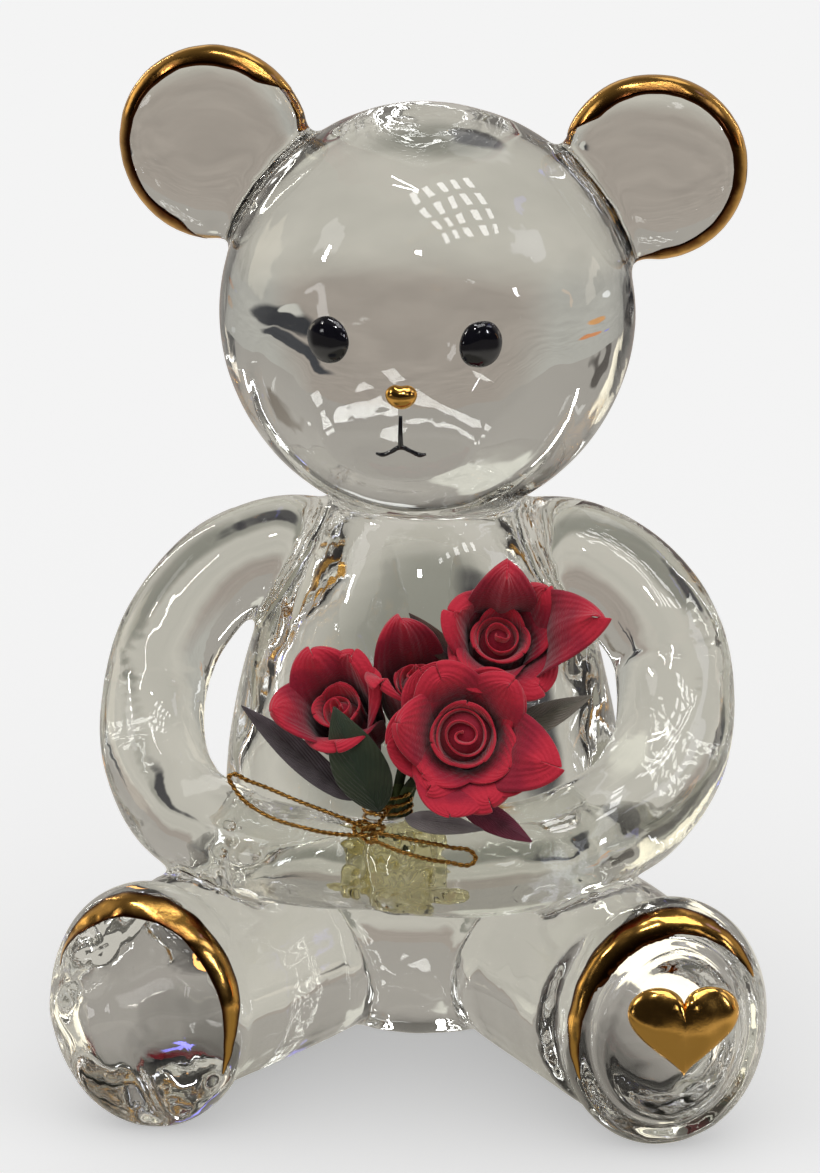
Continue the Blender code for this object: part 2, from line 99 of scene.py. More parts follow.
def closeClear(tree, clear, tint):      # lamplight passes a clear thing with only a tint
    path = addNode(tree, "ShaderNodeLightPath")
    through = addNode(tree, "ShaderNodeBsdfTransparent", {"Color": fromHex(tint)})
    both = addNode(tree, "ShaderNodeMixShader", {
        0: path.outputs["Is Shadow Ray"], 1: clear.outputs[0], 2: through.outputs[0],
    })
    closeMaterial(tree, both.outputs[0])


def middle(node):
    low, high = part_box(node)
    return (Vector(low) + Vector(high)) / 2


def addPiece(name, mesh, materials, nodes, smooth=True):
    made = bpy.data.objects.new(name, mesh)
    scene.collection.objects.link(made)
    for material in materials:
        made.data.materials.append(material)
    if smooth:
        made.data.shade_smooth()
    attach(made, rootBody)
    if nodes:
        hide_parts(*nodes)
    return made


def meshFrom(shape, name):
    mesh = bpy.data.meshes.new(name)
    shape.to_mesh(mesh)
    shape.free()
    return mesh


def applied(owner, name):      # the evaluated mesh of a helper object, which is then removed
    seen = owner.evaluated_get(bpy.context.evaluated_depsgraph_get())
    mesh = bpy.data.meshes.new_from_object(seen)
    mesh.name = name
    bpy.data.objects.remove(owner, do_unlink=True)
    return mesh


def helper(mesh):
    made = bpy.data.objects.new(mesh.name + "Helper", mesh)
    scene.collection.objects.link(made)
    return made


def boolean(mesh, cutter, operation, name):
    body, tool = helper(mesh), helper(cutter)
    step = body.modifiers.new("cut", "BOOLEAN")
    step.operation = operation
    step.solver = "MANIFOLD"
    step.object = tool
    made = applied(body, name)
    bpy.data.objects.remove(tool, do_unlink=True)
    return made


def smoothStep(low, high, value):
    share = min(1.0, max(0.0, (value - low) / (high - low)))
    return share * share * (3 - 2 * share)


# camera, floor, light

view = {
    "azimuth": 5.0,
    "elevation": 17.0,
    "distance": 330 * mm,
    "frameHeight": 76.2 * mm,      # what the frame's height spans at the target's distance
    "target": Vector((-0.9, 0.0, 28.9)) * mm,
    "sensor": 36.0,
}


def makeCamera():
    turn, lift = math.radians(view["azimuth"]), math.radians(view["elevation"])
    back = Vector((math.sin(turn) * math.cos(lift), -math.cos(turn) * math.cos(lift), math.sin(lift)))
    lens = bpy.data.cameras.new("camera")
    lens.sensor_width = view["sensor"]
    lens.lens = view["sensor"] * view["distance"] / view["frameHeight"]
    lens.clip_start = 0.01
    lens.clip_end = 20.0
    made = bpy.data.objects.new("camera", lens)
    scene.collection.objects.link(made)
    made.location = view["target"] + back * view["distance"]
    made.rotation_euler = back.to_track_quat("Z", "Y").to_euler()
    scene.camera = made


studio = {
    "floorHalf": 3.0,
    "floorSeen": "f4f4f4",
    "tableNear": "cbc7be",      # what the glass refracts: a table top painted as lit near the bear, then a dimmer backdrop, and a front in painted shade
    "tableFar": "bab8b2",
    "tableBack": "aba29a",
    # painted shade: the table in front of the bear is darker, as if the dim room left it unlit
    "tableFrontInShade": "615d58",
    "tableEdge": (0.095, 0.165),
    "backSpread": (0.34, 0.62),
    "tableMottle": 0.045,
    "tent": 0.55,
    "backdrop": "aca7a1",
    "overhead": "5c5955",
    "dimRoom": "232122",
    "warp": 0.10,
}
# things standing on the table behind the bear, met only through the glass, and close behind the bear its
# painted shadow and a painted pool of light: place, reach, softness, colour
tableThingsAndPaintedShadow = [
    ((112, 215), 42, 18, "3c3d41"),
    ((150, 330), 50, 22, "48494d"),
    ((78, 190), 12, 6, "cfcdc6"),
    ((-215, 200), 20, 10, "e0a468"),
    ((-330, 330), 36, 14, "dc9260"),
    ((-400, 290), 12, 8, "8f8cff"),
    ((-150, 112), 8, 4, "ffffff"),
    ((2, -50), 30, 22, "918e80"),
    ((-26, -42), 8, 8, "55565a"),
    # painted shadow of the bear on the table just behind it
    ((-4, 38), 5, 14, "94938a"),
    ((-14, 33), 4, 3, "4b4a4c"),
    # a painted pool of light on the table beside the bear
    ((30, 22), 8, 6, "e9e6da"),
]
# bright and dark things around the table: direction, half angle in degrees, softness, colour, gain
roomThings = [
    ((-0.95, 0.25, 0.20), 10, 3.0, "fff6e0", 1.7),
    ((0.93, 0.35, 0.05), 8, 3.0, "fff4e4", 1.6),
    ((0.80, -0.20, 0.55), 8, 2.0, "eef0ff", 2.2),
    ((-0.70, -0.30, 0.60), 7, 2.0, "ffffff", 2.0),
    ((0.25, 0.55, 0.80), 10, 5.0, "ffffff", 1.2),
    ((-0.35, 0.80, 0.45), 8, 4.0, "e8e6dc", 1.0),
    ((0.86, 0.50, -0.02), 5, 2.5, "2b2a2c", 1.0),
    ((-0.80, 0.60, 0.06), 5, 2.0, "4a4440", 1.0),
    ((0.55, 0.78, 0.22), 4, 3.0, "7b7268", 1.0),
    ((-0.55, 0.45, 0.70), 5, 2.5, "6a645c", 1.0),
    ((0.70, 0.10, 0.75), 2.5, 1.0, "8f8cff", 2.2),
    ((0.98, -0.10, 0.10), 2.0, 1.0, "ffb46a", 2.4),
    ((0.57, 0.58, 0.58), 3.0, 1.0, "7f86ff", 2.4),
    ((-0.66, -0.45, 0.10), 2.5, 1.0, "ffffff", 4.0),
    ((0.35, -0.80, 0.35), 2.5, 1.0, "ffffff", 4.0),
]


def makeFloor():
    shape = bmesh.new()
    bmesh.ops.create_grid(shape, x_segments=2, y_segments=2, size=studio["floorHalf"])
    floor = bpy.data.objects.new("floor", meshFrom(shape, "floor"))
    scene.collection.objects.link(floor)
    material, tree = newMaterial("pale seamless paper")
    path = addNode(tree, "ShaderNodeLightPath")
    where = addNode(tree, "ShaderNodeTexCoord")
    reach = addNode(tree, "ShaderNodeVectorMath", {0: where.outputs["Object"]}, operation="LENGTH")
    far = addNode(tree, "ShaderNodeMapRange", {
        "Value": reach.outputs["Value"], "From Min": studio["tableEdge"][0],
        "From Max": studio["tableEdge"][1],
    }, interpolation_type="SMOOTHSTEP")
    spot = addNode(tree, "ShaderNodeSeparateXYZ", {"Vector": where.outputs["Object"]})
    ahead = addNode(tree, "ShaderNodeMath", {0: spot.outputs["Y"], 1: 0.02}, operation="MAXIMUM")
    slant = addNode(tree, "ShaderNodeMath", {0: spot.outputs["X"], 1: ahead.outputs[0]}, operation="DIVIDE")
    spread = addNode(tree, "ShaderNodeMath", {0: slant.outputs[0]}, operation="ABSOLUTE")
    aside = addNode(tree, "ShaderNodeMapRange", {
        "Value": spread.outputs[0], "From Min": studio["backSpread"][0], "From Max": studio["backSpread"][1],
    }, interpolation_type="SMOOTHSTEP")
    back = addNode(tree, "ShaderNodeMix", {
        "Factor": aside.outputs[0], 6: fromHex(studio["tableBack"]), 7: fromHex(studio["tableFar"]),
    }, data_type="RGBA")
    share = addNode(tree, "ShaderNodeMath", {
        0: spot.outputs["Y"], 1: reach.outputs["Value"],
    }, operation="DIVIDE")
    rear = addNode(tree, "ShaderNodeMapRange", {
        "Value": share.outputs[0], "From Min": -0.25, "From Max": 0.25,
    }, interpolation_type="SMOOTHSTEP")
    ground = addNode(tree, "ShaderNodeMix", {
        "Factor": rear.outputs[0], 6: fromHex(studio["tableFrontInShade"]), 7: back.outputs[2],
    }, data_type="RGBA")
    tone = addNode(tree, "ShaderNodeMix", {
        "Factor": far.outputs[0], 6: fromHex(studio["tableNear"]), 7: ground.outputs[2],
    }, data_type="RGBA")
    mottle = addNode(tree, "ShaderNodeTexNoise", {
        "Vector": where.outputs["Object"], "Scale": 26.0, "Detail": 3.0,
    })
    bend = addNode(tree, "ShaderNodeVectorMath", {
        0: mottle.outputs["Color"], 1: (0.02, 0.02, 0.0), 2: where.outputs["Object"],
    }, operation="MULTIPLY_ADD")
    for place, reach, soft, colour in tableThingsAndPaintedShadow:
        gap = addNode(tree, "ShaderNodeVectorMath", {
            0: bend.outputs[0], 1: (place[0] * mm + 0.01, place[1] * mm + 0.01, 0.0),
        }, operation="DISTANCE")
        inside = addNode(tree, "ShaderNodeMapRange", {
            "Value": gap.outputs["Value"], "From Min": (reach + soft) * mm, "From Max": reach * mm,
        }, interpolation_type="SMOOTHSTEP")
        tone = addNode(tree, "ShaderNodeMix", {
            "Factor": inside.outputs[0], 6: tone.outputs[2], 7: fromHex(colour),
        }, data_type="RGBA")
    shade = addNode(tree, "ShaderNodeMapRange", {
        "Value": mottle.outputs["Fac"], "From Min": 0.3, "From Max": 0.7,
        "To Min": 1 - studio["tableMottle"] * 2, "To Max": 1 + studio["tableMottle"] * 2,
    })
    matte = addNode(tree, "ShaderNodeBsdfDiffuse", {"Color": fromHex(studio["floorSeen"])})
    lit = addNode(tree, "ShaderNodeEmission", {
        "Color": fromHex(studio["floorSeen"]), "Strength": 1 - studio["tent"],
    })
    paper = addNode(tree, "ShaderNodeAddShader", {0: matte.outputs[0], 1: lit.outputs[0]})
    # through the glass the table is not lit but glows with this painted light and shade: lit near top, front
    # in painted shade, the bear's painted shadow
    refracted = addNode(tree, "ShaderNodeEmission", {
        "Color": tone.outputs[2], "Strength": shade.outputs[0],
    })
    both = addNode(tree, "ShaderNodeMixShader", {
        0: path.outputs["Is Camera Ray"], 1: refracted.outputs[0], 2: paper.outputs[0],
    })
    closeMaterial(tree, both.outputs[0])
    material.cycles.emission_sampling = "NONE"
    floor.data.materials.append(material)
    return floor


def makeRoom():
    world = bpy.data.worlds.new("softStudio")
    world.use_nodes = True
    scene.world = world
    tree = world.node_tree
    tree.nodes.clear()
    path = addNode(tree, "ShaderNodeLightPath")
    where = addNode(tree, "ShaderNodeTexCoord")
    blur = addNode(tree, "ShaderNodeTexNoise", {
        "Vector": where.outputs["Generated"], "Scale": 5.0, "Detail": 2.0,
    })
    centred = addNode(tree, "ShaderNodeVectorMath", {
        0: blur.outputs["Color"], 1: (0.5, 0.5, 0.5),
    }, operation="SUBTRACT")
    warp = addNode(tree, "ShaderNodeVectorMath", {
        0: centred.outputs[0], "Scale": studio["warp"] * 4,
    }, operation="SCALE")
    bent = addNode(tree, "ShaderNodeVectorMath", {
        0: where.outputs["Generated"], 1: warp.outputs[0],
    }, operation="ADD")
    outward = addNode(tree, "ShaderNodeVectorMath", {0: bent.outputs[0]}, operation="NORMALIZE")
    height = addNode(tree, "ShaderNodeSeparateXYZ", {"Vector": outward.outputs[0]})
    behind = addNode(tree, "ShaderNodeMapRange", {
        "Value": height.outputs["Y"], "From Min": -0.20, "From Max": 0.25,
    }, interpolation_type="SMOOTHSTEP")
    rise = addNode(tree, "ShaderNodeMapRange", {
        "Value": height.outputs["Z"], "From Min": 0.45, "From Max": 0.95,
    }, interpolation_type="SMOOTHSTEP")
    sides = addNode(tree, "ShaderNodeMix", {
        "Factor": behind.outputs[0], 6: fromHex(studio["dimRoom"]), 7: fromHex(studio["backdrop"]),
    }, data_type="RGBA")
    room = addNode(tree, "ShaderNodeMix", {
        "Factor": rise.outputs[0], 6: sides.outputs[2], 7: fromHex(studio["overhead"]),
    }, data_type="RGBA")
    for direction, half, soft, colour, gain in roomThings:
        towards = addNode(tree, "ShaderNodeVectorMath", {
            0: outward.outputs[0], 1: Vector(direction).normalized(),
        }, operation="DOT_PRODUCT")
        inside = addNode(tree, "ShaderNodeMapRange", {
            "Value": towards.outputs["Value"],
            "From Min": math.cos(math.radians(half + soft)), "From Max": math.cos(math.radians(half)),
        }, interpolation_type="SMOOTHSTEP")
        room = addNode(tree, "ShaderNodeMix", {
            "Factor": inside.outputs[0], 6: room.outputs[2],
            7: tuple(value * gain for value in fromHex(colour)[:3]) + (1.0,),
        }, data_type="RGBA")
    roomLight = addNode(tree, "ShaderNodeBackground", {"Color": room.outputs[2], "Strength": 1.0})
    tentLight = addNode(tree, "ShaderNodeBackground", {
        "Color": (1.0, 1.0, 1.0, 1.0), "Strength": studio["tent"],
    })
    mirrored = addNode(tree, "ShaderNodeMath", {
        0: path.outputs["Is Glossy Ray"], 1: path.outputs["Is Transmission Ray"],
    }, operation="MAXIMUM")
    both = addNode(tree, "ShaderNodeMixShader", {
        0: mirrored.outputs[0], 1: tentLight.outputs[0], 2: roomLight.outputs[0],
    })
    addNode(tree, "ShaderNodeOutputWorld", {"Surface": both.outputs[0]})


lamps = {
    # name: direction from the bear, distance, width, height, radiance, colour
    "tubeNear": (Vector((-0.134, -0.200, 0.976)), 0.50, 0.13, 0.009, 34.0, "ffffff"),
    "tubeFar": (Vector((-0.134, -0.140, 0.976)), 0.50, 0.16, 0.009, 26.0, "ffffff"),
    "flash": (Vector((-0.02, -0.72, 0.69)), 0.50, 0.022, 0.022, 120.0, "ffffff"),
    "sideLeft": (Vector((-0.74, -0.42, 0.52)), 0.60, 0.024, 0.070, 60.0, "fffaf2"),
    "sideRight": (Vector((0.78, -0.56, 0.28)), 0.60, 0.020, 0.060, 50.0, "f4f6ff"),
    "tubeBackLeft": (Vector((-0.60, 0.66, 0.36)), 0.60, 0.012, 0.30, 18.0, "fffdf6"),
    "tubeBackRight": (Vector((0.70, 0.58, 0.36)), 0.60, 0.010, 0.30, 14.0, "f4f6ff"),
}
# a tall window strip that only the arms catch, for the long streaks down the rods
armStreak = (Vector((-0.47, -0.80, 0.30)), 0.60, 0.014, 0.56, 30.0, "fffefa")
blind = {"direction": Vector((0.26, -0.34, 0.90)), "distance": 0.5, "slats": 5, "rows": 4, "pitch": 0.060,
         "step": 0.075, "width": 0.026, "height": 0.050, "radiance": 9.0}


def addLamp(name, direction, distance, width, height, radiance, colour, shift=(0, 0, 0)):
    lamp = bpy.data.lights.new(name, "AREA")
    lamp.shape = "RECTANGLE"
    lamp.size = width
    lamp.size_y = height
    lamp.energy = radiance * math.pi * width * height
    lamp.color = fromHex(colour)[:3]
    made = bpy.data.objects.new(name, lamp)
    scene.collection.objects.link(made)
    away = direction.normalized()
    facing = away.to_track_quat("Z", "Y")
    made.location = view["target"] + away * distance + facing @ Vector(shift)
    made.rotation_euler = facing.to_euler()
    made.light_linking.receiver_collection = unlit
    return made


def makeLamps():
    addLamp("armStreak", *armStreak).light_linking.receiver_collection = armsOnly
    for name, spec in lamps.items():
        made = addLamp(name, *spec)
        if name.startswith("tube"):
            made.light_linking.receiver_collection = offTheMuzzle
    for column in range(blind["slats"]):
        for row in range(blind["rows"]):
            across = (column - (blind["slats"] - 1) / 2) * blind["pitch"]
            up = (row - (blind["rows"] - 1) / 2) * blind["step"]
            addLamp("blind%d%d" % (column, row), blind["direction"], blind["distance"], blind["width"],
                    blind["height"], blind["radiance"], "ffffff", (across, up, 0))


makeCamera()
unlit = bpy.data.collections.new("litOnlyByTheTent")      # the lamps leave the floor evenly pale
unlit.objects.link(makeFloor())
unlit.collection_objects[0].light_linking.link_state = "EXCLUDE"
offTheMuzzle = bpy.data.collections.new("litByTheTubes")      # the muzzle keeps a soft face between the eyes
offTheMuzzle.objects.link(unlit.objects[0])
offTheMuzzle.collection_objects[0].light_linking.link_state = "EXCLUDE"
armsOnly = bpy.data.collections.new("caughtByTheArms")
makeRoom()
makeLamps()
scene.view_settings.view_transform = "Standard"
scene.cycles.caustics_refractive = False      # the glass throws a soft shadow, not sparkles on the paper
scene.cycles.caustics_reflective = False
scene.cycles.max_bounces = 32
scene.cycles.transmission_bounces = 32
scene.cycles.glossy_bounces = 16
scene.cycles.transparent_max_bounces = 64
print("studio ready")


# glass

# Soft soda glass worked in the flame: IOR 1.5, mirror smooth, a very slight grey
clearGlass = {"tint": "f2f3ef", "ior": 1.50, "shadow": "e6e6e2", "ripple": 2.5 * mm}


def makeGlassMaterial():
    material, tree = newMaterial("clear soda glass")
    where = addNode(tree, "ShaderNodeTexCoord")
    ripple = addNode(tree, "ShaderNodeTexNoise", {
        "Vector": where.outputs["Object"], "Scale": 1 / clearGlass["ripple"], "Detail": 1.0,
    })
    bump = addNode(tree, "ShaderNodeBump", {
        "Height": ripple.outputs["Fac"], "Strength": 0.06, "Distance": 0.02 * mm,
    })
    glass = addNode(tree, "ShaderNodeBsdfPrincipled", {
        "Base Color": fromHex(clearGlass["tint"]), "Roughness": 0.0, "IOR": clearGlass["ior"],
        "Transmission Weight": 1.0, "Normal": bump.outputs["Normal"],
    })
    closeClear(tree, glass, clearGlass["shadow"])
    return material


def makeJointMaterial():      # where two gathers were fused there is no surface left to see
    material, tree = newMaterial("fused joint")
    closeMaterial(tree, addNode(tree, "ShaderNodeBsdfTransparent").outputs[0])
    return material


bear = {
    "voxel": 0.26 * mm,
    "armRest": 0.55 * mm,      # the arms lie on the thighs without being fused to them
    "headHalfHeight": 13.4 * mm,
    "muzzle": {"place": Vector((-0.4, -9.2, -3.7)) * mm, "radii": Vector((7.4, 5.6, 5.6)) * mm},
    "torsoWaist": 13.5 * mm,
    "torsoBelow": 15.5 * mm,
    "earHalf": 1.8 * mm,
    "earSquareness": 2.6,
    "earTurn": 8.0,
    "earRadius": {"right": 6.3 * mm, "left": 6.0 * mm},
    "armRadius": {"right": 3.4 * mm, "left": 3.8 * mm},
    "armRoute": {
        "right": [
            (-5.0, 0.5, 31.0), (-10.2, -0.2, 31.2), (-15.2, -1.6, 27.4), (-17.3, -4.0, 21.4),
            (-15.6, -8.4, 17.1), (-11.4, -12.7, 15.8), (-6.2, -15.7, 15.7), (-0.6, -16.9, 15.8),
            (1.0, -17.0, 15.8),
        ],
        "left": [
            (5.0, 0.5, 31.0), (10.0, -0.2, 31.1), (14.9, -1.8, 28.0), (16.6, -4.2, 23.6), (15.6, -8.2, 19.2),
            (11.8, -12.5, 16.8), (6.4, -15.6, 15.9), (0.6, -16.9, 15.8), (-1.0, -17.0, 15.8),
        ],
    },
    "armTaper": [1.0, 1.0, 1.0, 1.0, 1.0, 0.98, 0.92, 0.82, 0.8],
    "legRadius": 6.6 * mm,
    "legRoute": [(5.0, -1.0, 6.7), (8.8, -7.0, 6.7), (12.4, -13.0, 6.8), (15.0, -19.0, 7.2)],
    "legTaper": [1.06, 1.07, 1.06, 1.0],
    "footWidth": 6.4 * mm,
    "footHeight": 7.8 * mm,
    "footHalf": 4.2 * mm,
    "footSquareness": 2.5,
    "footTurn": 8.0,
    "footLean": 7.0,
    "footSplay": 10.0,
}
sideSign = {"right": -1, "left": 1}


def turnedShape(profile, steps=96):      # spin a profile of (radius, height) about local Z
    shape = bmesh.new()
    corners = [shape.verts.new((radius, 0.0, height)) for radius, height in profile]
    for upper, lower in zip(corners, corners[1:]):
        shape.edges.new((upper, lower))
    bmesh.ops.spin(shape, geom=shape.verts[:] + shape.edges[:], axis=(0, 0, 1), cent=(0, 0, 0),
                   angle=2 * math.pi, steps=steps, use_merge=True)
    bmesh.ops.remove_doubles(shape, verts=shape.verts, dist=0.001 * mm)
    bmesh.ops.recalc_face_normals(shape, faces=shape.faces)
    return shape


def discProfile(radius, half, squareness, points=49):
    outline = []
    for index in range(points):
        angle = math.pi * index / (points - 1)
        across = abs(math.sin(angle)) ** (2 / squareness) if 0 < index < points - 1 else 0.0
        along = abs(math.cos(angle)) ** (2 / squareness)
        outline.append((radius * across, half * along * (1 if index < points / 2 else -1)))
    return outline


def standing(centre, turn, lean, splay=0.0):      # local Z looks along -Y, leans back, turns out, tips out
    rotation = (Matrix.Rotation(math.radians(turn), 4, "Z") @ Matrix.Rotation(math.radians(90 - lean), 4, "X")
                @ Matrix.Rotation(math.radians(-splay), 4, "Z"))
    return Matrix.Translation(centre) @ rotation


def earPlace(side):
    low, high = (Vector(corner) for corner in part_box("ear_" + side))
    radius = bear["earRadius"][side]
    outer = low.x + radius if side == "right" else high.x - radius
    centre = Vector((outer, (low.y + high.y) / 2, high.z - radius))
    return standing(centre, sideSign[side] * bear["earTurn"], 0)


def footPlace(side):
    low, high = (Vector(corner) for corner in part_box("foot_" + side))
    centre = (low + high) / 2
    centre.z = high.z - bear["footHeight"] * 0.995
    sign = sideSign[side]
    return standing(centre, sign * bear["footTurn"], bear["footLean"], sign * bear["footSplay"])


def headPlace():
    low, high = (Vector(corner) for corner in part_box("head"))
    centre = (low + high) / 2
    centre.z = high.z - bear["headHalfHeight"]
    return centre, Vector(((high.x - low.x) / 2, (high.y - low.y) / 2, bear["headHalfHeight"]))


def ellipsoidShape(centre, radii):
    shape = bmesh.new()
    bmesh.ops.create_icosphere(shape, subdivisions=6, radius=1.0)
    bmesh.ops.scale(shape, vec=radii, verts=shape.verts)
    bmesh.ops.translate(shape, vec=centre, verts=shape.verts)
    return shape


def bezierGuide(points, steps):      # a smooth curve through the points, as a helper object
    curve = bpy.data.curves.new("guide", "CURVE")
    curve.dimensions = "3D"
    curve.resolution_u = steps
    spline = curve.splines.new("BEZIER")
    spline.bezier_points.add(len(points) - 1)
    for point, place in zip(spline.bezier_points, points):
        point.co = place
        point.handle_left_type = "AUTO"
        point.handle_right_type = "AUTO"
    guide = bpy.data.objects.new("guide", curve)
    scene.collection.objects.link(guide)
    return guide


def tubeShape(guide):      # a bevelled curve as one closed skin
    shape = bmesh.new()
    shape.from_mesh(applied(guide, "tube"))
    bmesh.ops.remove_doubles(shape, verts=shape.verts, dist=0.001 * mm)
    bmesh.ops.recalc_face_normals(shape, faces=shape.faces)
    return shape


def rodShape(route, radius, taper, grow=0.0, sides=14, steps=12):
    guide = bezierGuide([Vector(place) * mm for place in route], steps)
    guide.data.bevel_depth = radius + grow
    guide.data.bevel_resolution = sides
    guide.data.use_fill_caps = True
    for point, factor in zip(guide.data.splines[0].bezier_points, taper):
        point.radius = factor
    return tubeShape(guide)


def torsoShape():
    low, high = (Vector(corner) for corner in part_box("torso"))
    radius = (high.x - low.x) / 2
    crown = high.z - bear["torsoWaist"]
    base = bear["torsoBelow"]
    seat = math.acos(-bear["torsoWaist"] / base)
    steps = 60
    profile = [(0.0, bear["torsoWaist"] + crown)]
    for index in range(1, steps + 1):
        angle = seat * index / steps
        height = crown if angle < math.pi / 2 else base
        profile.append((radius * math.sin(angle), bear["torsoWaist"] + height * math.cos(angle)))
    profile.append((0.0, 0.0))
    shape = turnedShape(profile)
    bmesh.ops.scale(shape, vec=(1, (high.y - low.y) / (high.x - low.x), 1), verts=shape.verts)
    return shape


def armRod(side, grow=0.0):
    return rodShape(bear["armRoute"][side], bear["armRadius"][side], bear["armTaper"], grow)


def legRoute(side):
    return [(sideSign[side] * x, y, z) for x, y, z in bear["legRoute"]]


def gatherShape(name):
    kind, _, side = name.partition("_")
    centre, radii = headPlace()
    if kind == "torso":
        return torsoShape()
    if kind == "head":
        return ellipsoidShape(centre, radii)
    if kind == "muzzle":
        return ellipsoidShape(centre + bear["muzzle"]["place"], bear["muzzle"]["radii"])
    if kind == "ear":
        shape = turnedShape(discProfile(bear["earRadius"][side], bear["earHalf"], bear["earSquareness"]))
        bmesh.ops.transform(shape, matrix=earPlace(side), verts=shape.verts)
        return shape
    if kind == "foot":
        shape = turnedShape(discProfile(bear["footWidth"], bear["footHalf"], bear["footSquareness"]))
        tall = bear["footHeight"] / bear["footWidth"]
        bmesh.ops.scale(shape, vec=(1, tall, 1), verts=shape.verts)
        bmesh.ops.transform(shape, matrix=footPlace(side), verts=shape.verts)
        return shape
    if kind == "arm":
        return armRod(side)
    return rodShape(legRoute(side), bear["legRadius"], bear["legTaper"])


solePlaces = {side: footPlace(side).inverted() for side in sideSign}
gathers = ["torso", "head", "muzzle", "ear_right", "ear_left", "arm_right", "arm_left",
           "leg_right", "leg_left", "foot_right", "foot_left"]


def fusedGlass():
    whole = bmesh.new()
    for name in gathers:
        mesh = meshFrom(gatherShape(name), name)
        if name.startswith(("leg", "foot")):
            for side in sideSign:
                mesh = boolean(mesh, meshFrom(armRod(side, bear["armRest"]), "rest"), "DIFFERENCE", name)
        whole.from_mesh(mesh)
        bpy.data.meshes.remove(mesh)
    body = helper(meshFrom(whole, "fused"))
    melt = body.modifiers.new("melt", "REMESH")
    melt.mode = "VOXEL"
    melt.voxel_size = bear["voxel"] * 1
    return applied(body, "fused")


def smoothRoute(points, steps=14):
    mesh = applied(bezierGuide(points, steps), "route")
    found = [corner.co.copy() for corner in mesh.vertices]
    bpy.data.meshes.remove(mesh)
    return found


handWork = {"sag": (7.0 * mm, 0.10 * mm), "ripple": (2.2 * mm, 0.020 * mm), "crinkle": (1.1 * mm, 0.085 * mm),
            "muzzleRounds": 240, "muzzleReach": 21, "jointRounds": 22, "legRounds": 7, "reach": 4,
            "drawn": 0.075 * mm, "markRings": 7, "overall": 6, "innerCorner": -0.22}


def ringsOut(corners, count):
    found = set(corners)
    edge = set(corners)
    for _ in range(count):
        edge = {other for corner in edge for link in corner.link_edges for other in link.verts} - found
        found |= edge
    return found


def soften(shape, corners, rounds):
    for _ in range(rounds):
        bmesh.ops.smooth_vert(shape, verts=list(corners), factor=0.5,
                              use_axis_x=True, use_axis_y=True, use_axis_z=True)


def soleDents(corner):      # the pad pressed round the heart, and the pinched sole of the other foot
    total = 0.0
    for side in ("right", "left"):
        spot = solePlaces[side] @ corner.co
        reach = math.hypot(spot.x / bear["footWidth"], spot.y / bear["footHeight"])
        if spot.z < bear["footHalf"] * 0.2 or reach > 1.15:
            continue
        face = smoothStep(0.2, 0.6, spot.z / bear["footHalf"])
        if side == "left":
            groove = math.exp(-((reach - 0.80) / 0.07) ** 2)
            total -= 0.42 * mm * groove * face
            total += 0.16 * mm * math.exp(-((reach - 0.62) / 0.08) ** 2) * face
            total += 0.10 * mm * noise.noise(spot / (1.2 * mm)) * smoothStep(0.75, 1.0, reach) * face
        else:
            low = smoothStep(0.1, -0.7, spot.y / bear["footHeight"])
            pinch = math.exp(-((spot.x + 0.9 * mm + 0.10 * spot.y) / (0.8 * mm)) ** 2) * low
            total -= 0.60 * mm * pinch * face
            total += 0.36 * mm * noise.noise(spot / (3.0 * mm)) * face
            high = smoothStep(0.3, 0.8, spot.y / bear["footHeight"])
            high *= smoothStep(0.2, -0.5, spot.x / bear["footWidth"])
            total += 0.20 * mm * noise.noise(spot / (0.9 * mm)) * high * face
    return total


